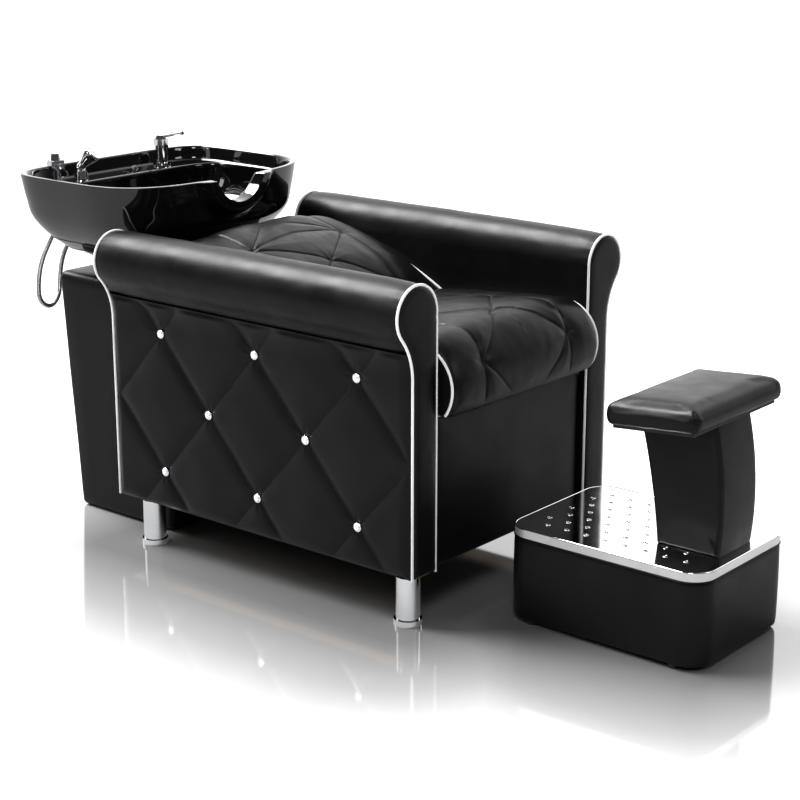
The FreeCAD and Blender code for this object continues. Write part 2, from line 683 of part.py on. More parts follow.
def deck_nuts():
    nuts = []
    for alias in ("mixer_y", "holder_y", "breaker_y"):
        nut = doc.addObject("Part::Prism", "nut_" + alias)
        nut.Polygon = 6
        bind(nut, Circumradius="nut_radius", Height="nut_thick")
        place(nut, "fitting_x", alias, "deck - deck_thick - nut_thick")
        way = rod("nut_way_" + alias, "shank_radius", "60", "fitting_x", alias, "shank_low")
        nuts.append(cut("deck_nut_" + alias, nut, way))
    node(group("deck_nuts", *nuts), "deck_nuts")


# The hose runs from the vacuum breaker down behind the pedestal and up to the handset's socket.
HOSE_ROUTE = (
    (-845, -187, 690), (-845, -187, 655), (-856, -198, 612), (-871, -213, 564),
    (-879, -221, 514), (-878, -222, 470), (-882, -184, 447), (-886, -146, 469),
    (-885, -141, 514), (-879, -135, 564), (-860, -122, 610), (-845, -112, 654), (-845, -112, 690),
)
ARC_SHARE = 0.45


def rounded_route(points):
    """Straight runs joined by tangent arcs as large as their runs allow."""
    corners = []
    for before, here, after in zip(points, points[1:], points[2:]):
        back = before - here
        on = after - here
        shorter = min(back.Length, on.Length)
        half_turn = (math.pi - back.getAngle(on)) / 2
        radius = ARC_SHARE * shorter / math.tan(half_turn)
        start = here + back.normalize() * ARC_SHARE * shorter
        end = here + on.normalize() * ARC_SHARE * shorter
        centre_way = (back + on).normalize()
        centre = here + centre_way * (radius / math.cos(half_turn))
        middle = centre - centre_way * radius
        corners.append((start, middle, end, radius))
    edges = []
    here = points[0]
    for start, middle, end, radius in corners:
        edges.append(Part.LineSegment(here, start).toShape())
        edges.append(Part.Arc(start, middle, end).toShape())
        here = end
    edges.append(Part.LineSegment(here, points[-1]).toShape())
    return Part.Wire(edges), [corner[3] for corner in corners]


def spray_hose():
    points = [Vector(*point) for point in HOSE_ROUTE]
    path, radii = rounded_route(points)
    radius = size("hose_radius")
    solid = tube(path, points[0], points[1] - points[0], radius)
    expected = math.pi * radius ** 2 * path.Length
    print("hose length %.1f, tightest radius %.1f, radii %s, volume ratio %.4f" % (
        path.Length, min(radii), [round(value) for value in radii], solid.Volume / expected))
    node(formed("spray_hose", solid), "spray_hose")


# ------------------------------------------------------------------ foot box and leg rest

def box_outline(inset):
    """Rounded rectangle in plan, inset from the foot box's edge."""
    near = size("box_rear") + inset
    far = size("box_rear") + size("box_length") - inset
    half = size("box_half") - inset
    corner = size("box_corner") - inset
    dip = corner * (1 - math.sqrt(0.5))
    return edges_through(
        flat(near + corner, -half), flat(far - corner, -half),
        (flat(far - dip, dip - half), flat(far, corner - half)), flat(far, half - corner),
        (flat(far - dip, half - dip), flat(far - corner, half)), flat(near + corner, half),
        (flat(near + dip, half - dip), flat(near, half - corner)), flat(near, corner - half),
        (flat(near + dip, dip - half), flat(near + corner, -half)))


def drain_holes():
    """Staggered holes of the tread plate, in seven rows, clear of the post."""
    spots = []
    pitch = size("hole_pitch_x")
    first = size("box_rear") + 67
    for row in range(-3, 4):
        y = row * size("hole_pitch_y")
        for step in range(8):
            x = first + step * pitch - (pitch / 2 if row % 2 == 0 else 0)
            beside_post = abs(y) < size("post_half") + 10 and x > 725
            if not beside_post and x < size("box_rear") + 395:
                spots.append((x, y))
    return spots


def foot_box():
    body = slab("foot_box_outer", "XY_Plane", box_outline(2), "box_height - plate_skin - box_low",
                z="box_low")
    room = slab("foot_box_room", "XY_Plane", box_outline(2 + size("box_wall")),
                "box_height - box_low - box_wall - plate_skin", z="box_low")
    node(cut("foot_box_shell", body, room), "foot_box_shell")
    cap = slab("tread_blank", "XY_Plane", box_outline(0), "plate_rim", z="box_height - plate_rim")
    under = slab("tread_under", "XY_Plane", box_outline(1.8), "plate_rim - plate_skin",
                 z="box_height - plate_rim")
    holes = [rod("tread_hole_%d" % number, "hole_radius", "10", "%.3f" % x, "%.3f" % y,
                 "box_height - 6") for number, (x, y) in enumerate(drain_holes())]
    node(cut("tread_plate", cap, under, *holes), "tread_plate")
    screws = []
    for number, x in enumerate((100, 350)):
        for side in (-1, 1):
            tag = "rim_screw_%d_%s" % (number, "right" if side < 0 else "left")
            screws.append(rod(tag, "3.5", "1.2", "box_rear + %d" % x, "%d * box_half" % side,
                              "box_height - plate_rim / 2", Vector(0, side, 0)))
    node(group("rim_screws", *screws), "rim_screws")
    feet = []
    for i in (60, 390):
        for j in (-1, 1):
            tag = "box_glide_%d_%s" % (i, "right" if j < 0 else "left")
            feet.append(rod(tag, "12", "box_low", "box_rear + %d" % i, "%d * (box_half - 16)" % j, "0"))
    node(group("foot_box_glides", *feet), "foot_box_glides")


def leg_rest():
    top = size("box_height")
    outline = edges_through(
        flat(734, top), flat(861, top), (flat(869, 335), flat(852, 457)), flat(692, 443.8),
        (flat(717, 330), flat(734, top)))
    node(slab("leg_rest_post", "XZ_Plane", outline, "2 * post_half", y="post_half"),
         "leg_rest_post")
    tilt = Rotation(Vector(0, 1, 0), -size("pad_tilt"))
    board = block("leg_rest_board", "pad_length - 24", "2 * (pad_half - 12)", "pad_board",
                  "680", "12 - pad_half", "443.2")
    board.Placement.Rotation = tilt
    node(board, "leg_rest_board")
    pad = block("leg_rest_pad", "pad_length", "2 * pad_half", "pad_thick", "668", "-pad_half",
                "452.3")
    pad.Placement.Rotation = tilt
    node(pad, "leg_rest_pad")


def make_all():
    for side, name in ((-1, "right"), (1, "left")):
        arm(side, name)
        leg(side, name, "front", "leg_front_x")
        leg(side, name, "rear", "leg_rear_x")
    crystal_buttons()
    arm_bolts()
    soft_bodies()
    side_welts("seat_piping", seat_welt_path)
    side_welts("back_piping", back_welt_path)
    seat_frame()
    back_frame()
    pedestal()
    tilt_bracket()
    bowl_cradle()
    bowl()
    waste_fittings()
    mixer()
    handset()
    vacuum_breaker()
    deck_nuts()
    spray_hose()
    foot_box()
    leg_rest()


def check_and_export():
    doc.recompute()
    for thing in doc.Objects:
        if "Invalid" in thing.State or "Error" in thing.State:
            raise RuntimeError("%s did not build: %s" % (thing.Label, thing.State))
    for thing in NODES:
        if thing.Shape.isNull() or not thing.Shape.isValid() or thing.Shape.Volume <= 0:
            raise RuntimeError("%s has no valid shape" % thing.Label)
    for thing in NODES:
        thing.Shape.exportStep("parts/%s.step" % thing.Label)
    print("%d sub-parts" % len(NODES))


make_all()
check_and_export()
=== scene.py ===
import json
import math
from contextlib import contextmanager

import bmesh
import bpy
import numpy as np
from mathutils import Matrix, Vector, noise


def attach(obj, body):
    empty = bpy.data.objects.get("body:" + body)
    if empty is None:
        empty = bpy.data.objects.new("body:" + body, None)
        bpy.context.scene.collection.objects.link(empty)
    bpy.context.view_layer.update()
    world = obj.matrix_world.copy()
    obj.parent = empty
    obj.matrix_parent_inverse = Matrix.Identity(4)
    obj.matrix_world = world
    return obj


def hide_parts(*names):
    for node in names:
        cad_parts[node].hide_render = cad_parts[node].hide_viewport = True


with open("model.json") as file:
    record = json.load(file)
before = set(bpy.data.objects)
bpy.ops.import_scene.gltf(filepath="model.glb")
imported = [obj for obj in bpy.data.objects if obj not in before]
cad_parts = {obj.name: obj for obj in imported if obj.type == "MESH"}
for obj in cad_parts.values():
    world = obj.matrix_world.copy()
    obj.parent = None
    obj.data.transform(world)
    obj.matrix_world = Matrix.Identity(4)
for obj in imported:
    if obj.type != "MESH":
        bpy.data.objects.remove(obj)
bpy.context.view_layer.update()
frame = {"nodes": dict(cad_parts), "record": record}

# An upholstered salon backwash unit: armchair, tilting ceramic bowl on a pedestal, foot box and
# leg rest.  Metres, +X the way the sitter faces, +Y the sitter's left, +Z up.

nodes = frame["nodes"]
scene = bpy.context.scene
SIDES = (("right", -1), ("left", 1))


def linked(name, data):
    """A new object in the scene."""
    made = bpy.data.objects.new(name, data)
    scene.collection.objects.link(made)
    return made


# ---- camera

AIM = Vector((0.035, 0.0, 0.345))
AZIMUTH, ELEVATION, DISTANCE = math.radians(39.6), math.radians(16.12), 4.075
SENSOR, LENS = 36.0, 84.6


def make_camera():
    away = Vector((math.sin(AZIMUTH) * math.cos(ELEVATION), -math.cos(AZIMUTH) * math.cos(ELEVATION),
                   math.sin(ELEVATION)))
    data = bpy.data.cameras.new("camera")
    data.sensor_width, data.lens, data.clip_end = SENSOR, LENS, 60
    camera = linked("camera", data)
    camera.location = AIM + away * DISTANCE
    camera.rotation_euler = (-away).to_track_quat("-Z", "Y").to_euler()
    scene.camera = camera


# ---- materials

class Nodes:
    """A node tree, with a short way to add and join its nodes."""

    def __init__(self, tree):
        self.tree = tree

    def link(self, source, target):
        self.tree.links.new(source, target)

    def add(self, kind, *sources, **settings):
        """A node with its first inputs linked to sources; Capitalised settings are values of inputs."""
        made = self.tree.nodes.new("ShaderNode" + kind)
        for source, target in zip(sources, made.inputs):
            self.link(source, target)
        for key, value in settings.items():
            if key[0].isupper():
                made.inputs[key.replace("_", " ")].default_value = value
            else:
                setattr(made, key, value)
        return made


class Finish(Nodes):
    """A material, with the few node chains that every finish here is made of."""

    def __init__(self, name):
        self.material = bpy.data.materials.new(name)
        self.material.use_nodes = True
        super().__init__(self.material.node_tree)
        self.shader = self.tree.nodes["Principled BSDF"]
        self.place = self.add("TexCoord").outputs["Object"]

    def set(self, **values):
        for key, value in values.items():
            self.shader.inputs[key.replace("_", " ")].default_value = value

    def noise(self, scale, detail=4.0, stretch=(1, 1, 1), distortion=0.0):
        """Noise in the object's own metres, stretched along its axes."""
        spot = self.add("Mapping", self.place, Scale=stretch).outputs[0]
        return self.add("TexNoise", spot, Scale=scale, Detail=detail, Distortion=distortion).outputs["Fac"]

    def cells(self, scale, feature="DISTANCE_TO_EDGE"):
        return self.add("TexVoronoi", self.place, Scale=scale, feature=feature).outputs["Distance"]

    def ramp(self, value, low, high, first, last):
        """Maps low..high of a value to first..last."""
        return self.add("MapRange", value, From_Min=low, From_Max=high, To_Min=first,
                        To_Max=last).outputs["Result"]

    def colours(self, value, *stops):
        """A colour ramp through (position, colour) stops."""
        band = self.add("ValToRGB", value)
        points = band.color_ramp.elements
        while len(points) < len(stops):
            points.new(0.5)
        for point, (position, colour) in zip(points, stops):
            point.position = position
            point.color = (*colour, 1.0)
        self.link(band.outputs["Color"], self.shader.inputs["Base Color"])

    def rough(self, value, first, last):
        self.link(self.ramp(value, 0.3, 0.7, first, last), self.shader.inputs["Roughness"])

    def bump(self, *layers):
        """Stacked bumps: (height, strength, distance in metres), the finest first."""
        normal = None
        for height, strength, distance in reversed(layers):
            made = self.add("Bump", Strength=strength, Distance=distance)
            self.link(height, made.inputs["Height"])
            if normal is not None:
                self.link(normal, made.inputs["Normal"])
            normal = made.outputs["Normal"]
        self.link(normal, self.shader.inputs["Normal"])


def vinyl(name, shades, gloss):
    """Soft-touch upholstery vinyl: pebble grain, faint pull lines, worn and handled patches."""
    finish = Finish(name)
    handled = finish.noise(7, 5)
    finish.colours(handled, (0.3, shades[0]), (0.72, shades[1]))
    finish.rough(finish.noise(16, 6), gloss - 0.05, gloss + 0.07)
    pebbles = finish.ramp(finish.cells(720), 0.0, 0.35, 0.0, 1.0)
    finish.bump((pebbles, 0.22, 0.00018), (finish.noise(260, 3), 0.25, 0.0003),
                (finish.noise(18, 5, (0.5, 1, 1)), 0.16, 0.003))
    finish.set(Specular_IOR_Level=0.25)
    return finish.material


def metal(name, shade, gloss, brush=(1, 1, 1), scratch=0.05, patch=9):
    """Plated or bare metal with wiping marks and fine scratches along the brush direction."""
    finish = Finish(name)
    smudge = finish.noise(patch, 6)
    dark = tuple(value * 0.9 for value in shade)
    finish.colours(smudge, (0.35, dark), (0.65, shade))
    lines = finish.noise(900, 2, brush)
    finish.rough(smudge, gloss * 0.7, gloss * 1.5)
    finish.bump((lines, scratch, 0.00004), (finish.noise(30, 3), 0.03, 0.0006))
    finish.set(Metallic=1.0)
    return finish.material


def glaze(name):
    """Black glazed ceramic: near mirror gloss with the glaze's slow waviness and a few pinholes."""
    finish = Finish(name)
    finish.colours(finish.noise(4, 4), (0.3, (0.0035, 0.0035, 0.004)), (0.7, (0.006, 0.006, 0.007)))
    finish.rough(finish.noise(11, 6), 0.03, 0.075)
    pits = finish.ramp(finish.cells(95, "F1"), 0.0, 0.06, 0.0, 1.0)
    finish.bump((pits, 0.04, 0.0001), (finish.noise(24, 2), 0.03, 0.0012))
    finish.set(IOR=1.5, Specular_IOR_Level=0.55, Coat_Weight=0.5, Coat_Roughness=0.03)
    return finish.material


def wood(name, pale, dark):
    """Sawn board: long grain streaks along X with darker latewood lines and open pores."""
    finish = Finish(name)
    streaks = finish.noise(9, 7, (0.5, 9, 9), 0.6)
    finish.colours(streaks, (0.32, dark), (0.5, pale), (0.62, tuple(0.8 * value for value in pale)))
    pores = finish.noise(160, 3, (0.08, 1, 1))
    finish.rough(pores, 0.52, 0.72)
    finish.bump((pores, 0.35, 0.0006), (streaks, 0.2, 0.001))
    return finish.material


def plastic(name, shade, gloss):
    """Moulded plastic or powder coat: fine orange peel and dull rubbed patches."""
    finish = Finish(name)
    rubbed = finish.noise(14, 5)
    finish.colours(rubbed, (0.35, shade), (0.7, tuple(1.8 * value for value in shade)))
    finish.rough(rubbed, gloss - 0.07, gloss + 0.08)
    finish.bump((finish.noise(420, 3), 0.2, 0.0002), (finish.noise(40, 2), 0.08, 0.0005))
    return finish.material


def crystal(name):
    """Foil-backed cut stone: very glossy, with cooler and warmer facets, and a faint painted glow that makes
    it bright.
    """
    finish = Finish(name)
    finish.colours(finish.noise(240, 1), (0.35, (0.76, 0.80, 0.86)), (0.6, (0.98, 0.98, 1.0)))
    finish.rough(finish.noise(60, 2), 0.03, 0.1)
    finish.bump((finish.noise(500, 1), 0.05, 0.0001))
    # painted glow: the emission makes the stone shine though it is no lamp
    finish.set(Metallic=0.3, Specular_IOR_Level=0.8, Coat_Weight=1.0, Coat_Roughness=0.02,
               Emission_Color=(0.9, 0.94, 1.0, 1.0), Emission_Strength=0.18)
    return finish.material


def tread_steel(name):
    """Polished sheet with a satin rim: fine lines along the sheet, soft wear where feet rest."""
    finish = Finish(name)
    worn = finish.noise(9, 6)
    finish.colours(worn, (0.35, (0.80, 0.805, 0.81)), (0.65, (0.90, 0.905, 0.91)))
    level = finish.add("SeparateXYZ", finish.place).outputs["Z"]
    smudged = finish.add("Math", finish.ramp(level, 0.1975, 0.1995, 0.55, 0.09),
                         finish.ramp(worn, 0.3, 0.7, -0.03, 0.05), operation="ADD")
    finish.link(smudged.outputs[0], finish.shader.inputs["Roughness"])
    finish.bump((finish.noise(900, 2, (0.03, 1, 1)), 0.1, 0.00004), (finish.noise(30, 3), 0.03, 0.0006))
    finish.set(Metallic=1.0)
    return finish.material


BLACK = ((0.0042, 0.0042, 0.0046), (0.0085, 0.0085, 0.009))
FINISHES = {
    "black_vinyl": vinyl("black_vinyl", BLACK, 0.36),
    "white_welt": vinyl("white_welt", ((0.74, 0.74, 0.73), (0.86, 0.86, 0.85)), 0.42),
    "crystal": crystal("crystal"),
    "chrome": metal("chrome", (0.86, 0.87, 0.89), 0.05),
    "stainless": tread_steel("stainless"),
    "zinc_steel": metal("zinc_steel", (0.55, 0.56, 0.58), 0.34, (1, 1, 0.1), 0.3, 30),
    "black_paint": plastic("black_paint", (0.008, 0.008, 0.008), 0.42),
    "black_ceramic": glaze("black_ceramic"),
    "black_plastic": plastic("black_plastic", (0.014, 0.014, 0.014), 0.5),
    "black_board": wood("black_board", (0.02, 0.02, 0.02), (0.008, 0.008, 0.008)),
    "timber": wood("timber", (0.56, 0.39, 0.22), (0.33, 0.2, 0.1)),
}


# ---- mesh helpers

def mesh_of(name, verts, faces):
    mesh = bpy.data.meshes.new(name)
    mesh.from_pydata([tuple(float(c) for c in v) for v in verts], [], faces)
    mesh.update()
    return mesh


def piece(name, verts, faces, finish, body, *stands_for, flat=False):
    """A new piece of the object, from points and faces, in its finish and on its body."""
    return dress(name, mesh_of(name, verts, faces), finish, body, *stands_for, flat=flat)


def dress(name, mesh, finish, body, *stands_for, flat=False):
    outward(mesh)
    mesh.polygons.foreach_set("use_smooth", [not flat] * len(mesh.polygons))
    mesh.materials.clear()
    mesh.materials.append(FINISHES[finish])
    made = linked(name, mesh)
    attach(made, body)
    if stands_for:
        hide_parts(*stands_for)
    return made


def upholstered(name, form, body, *stands_for, fill, angle=50, closing=False):
    """Vinyl over a filling, from a form's points and faces; closing joins points that fall together; the fill
    amount is not used.
    """
    made = piece(name, *form, "black_vinyl", body, *stands_for)
    if closing:
        merged(made)
    creased(made, angle)


@contextmanager
def edited(mesh):
    form = bmesh.new()
    form.from_mesh(mesh)
    yield form
    form.to_mesh(mesh)
    form.free()


def outward(mesh):
    """Turns every face of a closed mesh outwards."""
    with edited(mesh) as form:
        bmesh.ops.recalc_face_normals(form, faces=form.faces)


def merged(made):
    """Joins the points of a piece that fall together."""
    with edited(made.data) as form:
        bmesh.ops.remove_doubles(form, verts=form.verts, dist=0.00005)
        bmesh.ops.recalc_face_normals(form, faces=form.faces)


def creased(made, angle):
    """Shades smoothly except over edges sharper than the angle."""
    limit = math.radians(angle)
    with edited(made.data) as form:
        for edge in form.edges:
            edge.smooth = len(edge.link_faces) == 2 and edge.calc_face_angle(0.0) < limit
    return made


def modified(made, kind, **settings):
    modifier = made.modifiers.new(kind.lower(), kind)
    for key, value in settings.items():
        setattr(modifier, key, value)
    return modifier


def applied(made):
    """Makes a piece's modifiers part of its mesh."""
    bpy.context.view_layer.update()
    depsgraph = bpy.context.evaluated_depsgraph_get()
    mesh = bpy.data.meshes.new_from_object(made.evaluated_get(depsgraph))
    made.modifiers.clear()
    made.data = mesh


def loft(rings, ends=True, around=True):
    """Points and faces through equal rings; each ring may close on itself and the ends be capped."""
    count = len(rings[0])
    verts = [point for ring in rings for point in ring]
    faces = []
    for row in range(0, len(verts) - count, count):
        for step in range(count if around else count - 1):
            here, after = row + step, row + (step + 1) % count
            faces.append((here, after, after + count, here + count))
    if ends:
        faces.append(tuple(range(count))[::-1])
        faces.append(tuple(range(len(verts) - count, len(verts))))
    return verts, faces


def joined(*forms):
    """Several (points, faces) forms as one."""
    verts, faces = [], []
    for points, sides in forms:
        start = len(verts)
        verts.extend(points)
        faces.extend(tuple(index + start for index in side) for side in sides)
    return verts, faces


def lathe(profile, centre, axis=(0, 0, 1), sides=48):
    """Turned form from (radius, height) pairs along an axis through centre."""
    turn = Vector((0, 0, 1)).rotation_difference(Vector(axis).normalized())
    rings = []
    for radius, height in profile:
        ring = []
        for step in range(sides):
            angle = 2 * math.pi * step / sides
            spot = Vector((radius * math.cos(angle), radius * math.sin(angle), height))
            ring.append(np.array(Vector(centre) + turn @ spot))
        rings.append(ring)
    return loft(rings)


def swept(path, radius, sides):
    """Tube along a path; radius is a number or a function of the point's index and the turn."""
    path = np.asarray(path, float)
    tangent = np.gradient(path, axis=0)
    tangent /= np.linalg.norm(tangent, axis=1)[:, None]
    helper = np.array((0.0, 0.0, 1.0)) if abs(tangent[0][2]) < 0.9 else np.array((1.0, 0.0, 0.0))
    side = np.cross(tangent[0], helper)
    side /= np.linalg.norm(side)
    rings = []
    for index, (point, direction) in enumerate(zip(path, tangent)):
        side = side - direction * (side @ direction)
        side /= np.linalg.norm(side)
        up = np.cross(direction, side)
        ring = []
        for step in range(sides):
            angle = 2 * math.pi * step / sides
            size = radius(index, angle) if callable(radius) else radius
            ring.append(point + size * (math.cos(angle) * side + math.sin(angle) * up))
        rings.append(ring)
    return loft(rings)


def resampled(points, gap):
    """The same polyline with points an even gap apart."""
    points = np.asarray(points, float)
    steps = np.linalg.norm(np.diff(points, axis=0), axis=1)
    along = np.concatenate(([0], np.cumsum(steps)))
    count = max(2, int(round(along[-1] / gap)) + 1)
    at = np.linspace(0, along[-1], count)
    return np.stack([np.interp(at, along, points[:, i]) for i in range(points.shape[1])], axis=1)


def arc_through(start, middle, end, steps):
    """Points of the circular arc through three points of a plane."""
    (ax, ay), (bx, by), (cx, cy) = start, middle, end
    d = 2 * (ax * (by - cy) + bx * (cy - ay) + cx * (ay - by))
    ux = ((ax * ax + ay * ay) * (by - cy) + (bx * bx + by * by) * (cy - ay)
          + (cx * cx + cy * cy) * (ay - by)) / d
    uy = ((ax * ax + ay * ay) * (cx - bx) + (bx * bx + by * by) * (ax - cx)
          + (cx * cx + cy * cy) * (bx - ax)) / d
    angles = np.unwrap([math.atan2(y - uy, x - ux) for x, y in (start, middle, end)])
    if (angles[1] - angles[0]) * (angles[2] - angles[1]) < 0:
        angles[2] += math.copysign(2 * math.pi, angles[1] - angles[0])
    radius = math.hypot(ax - ux, ay - uy)
    return [(ux + radius * math.cos(a), uy + radius * math.sin(a))
            for a in np.linspace(angles[0], angles[2], steps)]


def ripple(x, y, z, scale):
    """Smooth noise from -1 to 1 at a point, scale in waves per metre."""
    return noise.noise(Vector((x, y, z)) * scale)


def ripples(points, scale):
    return np.array([ripple(*point, scale) for point in points])


def smooth_step(value):
    value = np.clip(value, 0.0, 1.0)
    return value * value * (3 - 2 * value)


# ---- arms

ARM_REAR, ARM_FRONT = -0.501, 0.338
ARM_INNER, ARM_OUTER, ARM_LOW = 0.256, 0.336, 0.102
ROLL, ROLL_Y, ROLL_Z = 0.0635, 0.3195, 0.6385
NECK, NECK_Y = 0.130, 0.466
SEAM_Z = 0.566
NECK_Z = ROLL_Z - math.sqrt((ROLL + NECK) ** 2 - (NECK_Y - ROLL_Y) ** 2)
FALL = math.atan2(ROLL_Z - NECK_Z, NECK_Y - ROLL_Y)
WELT = 0.0035


def keyhole(inset, foot=0.0, gap=0.004):
    """An arm's end outline for the left side: up the inside, over the roll, in at the neck, down."""
    low = ARM_LOW + foot
    roll, neck = ROLL - inset, NECK + inset
    turns = np.linspace(math.pi, -FALL, 60)
    hollow = np.linspace(math.pi - FALL, math.pi, 16)[1:]
    points = [(ARM_INNER + inset, z) for z in np.linspace(low, ROLL_Z, 60)[:-1]]
    points += [(ROLL_Y + roll * math.cos(a), ROLL_Z + roll * math.sin(a)) for a in turns]
    points += [(NECK_Y + neck * math.cos(a), NECK_Z + neck * math.sin(a)) for a in hollow]
    points += [(ARM_OUTER - inset, z) for z in np.linspace(NECK_Z, low, 60)[1:]]
    return resampled(points, gap) if gap else np.array(points)


def arm_roll(name, side):
    """Padded roll with its inner skirt: stretched vinyl, gathered a little at both ends."""
    line = keyhole(0.0)
    outer = len(line) // 2
    seam_row = int(np.argmin(np.abs(line[outer:, 1] - SEAM_Z))) + outer
    skin = line[:seam_row + 1]
    tangent = np.gradient(skin, axis=0)
    normal = np.stack([-tangent[:, 1], tangent[:, 0]], axis=1)
    normal /= np.linalg.norm(normal, axis=1)[:, None]
    closing = [(0.3175, SEAM_Z + 0.001), (0.316, 0.598), (0.277, 0.598), (0.276, ARM_LOW)]
    rings = []
    for x in np.linspace(ARM_REAR, ARM_FRONT, 150):
        ends = min(x - ARM_REAR, ARM_FRONT - x)
        pinch = 0.0018 * math.exp(-((ends / 0.010) ** 2)) + 0.0022 * math.exp(-((ends / 0.04) ** 2))
        ring = []
        for row, ((y, z), (ny, nz)) in enumerate(zip(skin, normal)):
            on_roll = smooth_step((z - 0.570) / 0.03)
            tuck = 0.004 * math.exp(-(((len(skin) - 1 - row) * 0.004 / 0.006) ** 2))
            lump = 0.0011 * on_roll * ripple(x * 0.7, y * side, z, 9) + 0.0004 * ripple(x, y * side, z, 40)
            gather = 0.00035 * math.exp(-ends / 0.018) * math.sin(row * 1.3 + 3 * side)
            swell = 0.0012 * on_roll * math.sin(math.pi * (x - ARM_REAR) / (ARM_FRONT - ARM_REAR))
            move = lump + gather + swell - pinch - tuck
            ring.append((x, side * (y + ny * move), z + nz * move))
        ring += [(x, side * y, z) for y, z in closing]
        rings.append(ring)
    upholstered(name + "_roll_cover", loft(rings), "chair", name + "_arm_roll", fill=0.85, angle=60)


BUTTON_MID, BUTTON_PITCH, BUTTON_LEVEL, BUTTON_RISE = -0.075, 0.277, 0.340, 0.155
BUTTONS = [(BUTTON_MID + i * BUTTON_PITCH / 2, BUTTON_LEVEL + j * BUTTON_RISE)
           for j, row in ((-1, (-2, 0, 2)), (1, (-2, 0, 2)), (0, (-1, 1))) for i in row]
PAD_TOP, PAD_INNER = SEAM_Z - 0.001, 0.3165


def tufting(x, z):
    """Height of the tufted side over its flat ground: diamonds swelling between sewn folds."""
    across = (x - BUTTON_MID) / (BUTTON_PITCH / 2)
    up = (z - BUTTON_LEVEL) / BUTTON_RISE
    slope = BUTTON_RISE / math.hypot(BUTTON_RISE, BUTTON_PITCH / 2) * BUTTON_PITCH / 2
    folds = []
    for value in (across + up, across - up):
        nearest = np.abs((value - 1) / 2 - np.round((value - 1) / 2)) * 2
        folds.append(nearest * slope)
    first, second = folds
    pillow = (1 - np.exp(-(first / 0.015) ** 1.6)) * (1 - np.exp(-(second / 0.015) ** 1.6))
    dome = (1 - np.exp(-(first / 0.06) ** 2)) * (1 - np.exp(-(second / 0.06) ** 2))
    line = np.exp(-(first / 0.0028) ** 2) + np.exp(-(second / 0.0028) ** 2)
    height = 0.0052 * pillow + 0.0045 * dome - 0.0020 * np.minimum(line, 1.0)
    for bx, bz in BUTTONS:
        dx, dz = x - bx, z - bz
        far = np.hypot(dx, dz)
        turn = np.arctan2(dz, dx)
        height = height - 0.0040 * np.exp(-(far / 0.012) ** 2)
        height = height + 0.0006 * np.cos(9 * turn + 40 * bx) * np.exp(-((far - 0.018) / 0.012) ** 2)
    edge = np.minimum.reduce([x - ARM_REAR, ARM_FRONT - x, z - ARM_LOW])
    return (height * smooth_step(edge / 0.025 + 0.1) * smooth_step((PAD_TOP - z) / 0.012)
            - 0.004 * np.exp(-(edge / 0.005) ** 2))


def flank(z):
    """Distance from the middle plane of an arm's outer side at height z, under its neck."""
    return np.where(z < NECK_Z, ARM_OUTER, NECK_Y - np.sqrt(np.maximum(NECK ** 2 - (z - NECK_Z) ** 2, 0)))


def tufted_side(name, side):
    """Tufted pad: its swelling outer face, closed by a flat back along its border."""
    x, z = np.meshgrid(np.linspace(ARM_REAR, ARM_FRONT, 300), np.linspace(ARM_LOW, PAD_TOP, 168))
    y = flank(z) - 0.0005 + tufting(x, z)
    rows = [[(px, side * (py + 0.0007 * ripple(px, side, pz, 14)), pz) for px, py, pz in zip(*row)]
            for row in zip(x, y, z)]
    verts, faces = loft(rows, ends=False, around=False)
    place = np.arange(len(verts)).reshape(x.shape)
    border = [*place[0], *place[1:, -1], *place[-1, -2::-1], *place[-2:0:-1, 0]]
    back = tuple(range(len(verts), len(verts) + len(border)))
    verts += [(verts[i][0], side * PAD_INNER, verts[i][2]) for i in border]
    for step in range(len(border)):
        faces.append((int(border[step - 1]), int(border[step]), back[step], back[step - 1]))
    upholstered(name + "_tufted_side", (verts, faces + [back]), "chair", name + "_arm_tufted_pad", fill=0.8)


def facing(name, end, side):
    """Flat padded end of an arm inside its welt."""
    face, outwards = (ARM_FRONT, 1) if end == "front" else (ARM_REAR, -1)
    steps = np.linspace(0, 1, len(keyhole(0.007)))
    rings = []
    for inset, rise in ((0.0072, 0.0002), (0.0070, 0.0045), (0.0085, 0.0066), (0.012, 0.0078),
                        (0.018, 0.0086), (0.026, 0.009), (0.034, 0.0091)):
        line = keyhole(inset, inset * 0.6, None)
        at = np.linspace(0, 1, len(line))
        rings.append([(face + outwards * (rise + 0.0004 * ripple(inset * 40, y, z, 25)), side * y, z)
                      for y, z in zip(*(np.interp(steps, at, line[:, i]) for i in (0, 1)))])
    upholstered(f"{name}_{end}_facing", loft(rings), "chair", f"{name}_arm_{end}_facing", fill=0.7)


WELT_GAP, WELT_PITCH = 0.002, 0.009


def welt(path):
    """Round welt along a path, its cover wrinkling a little round the cord."""
    def size(index, angle):
        along = index * WELT_GAP
        wrinkle = math.sin(2 * math.pi * along / WELT_PITCH + angle) * (0.5 + 0.5 * math.sin(along * 61))
        return (WELT - 0.0006) * (1 + 0.035 * wrinkle)

    return swept(resampled(path, WELT_GAP), size, 10)


def arm_welts(name, side):
    forms = [welt([(x, side * y, z) for y, z in keyhole(WELT)]) for x in (ARM_FRONT + WELT, ARM_REAR - WELT)]
    piece(name + "_arm_welt", *joined(*forms), "white_welt", "chair", name + "_arm_piping")


def crystal_stone(centre, side, count=12):
    """Cut stone: a table, two rows of facets and a girdle in a thin metal cup."""
    rings = []
    for radius, rise, turn in ((0.0074, -0.004, 0), (0.0088, 0.0, 0), (0.0088, 0.0010, 0),
                               (0.0066, 0.0040, 0.5), (0.0040, 0.0055, 0)):
        turns = [2 * math.pi * (step + turn) / count for step in range(count)]
        rings.append([(centre[0] + radius * math.cos(angle), centre[1] + side * rise,
                       centre[2] + radius * math.sin(angle)) for angle in turns])
    return loft(rings)


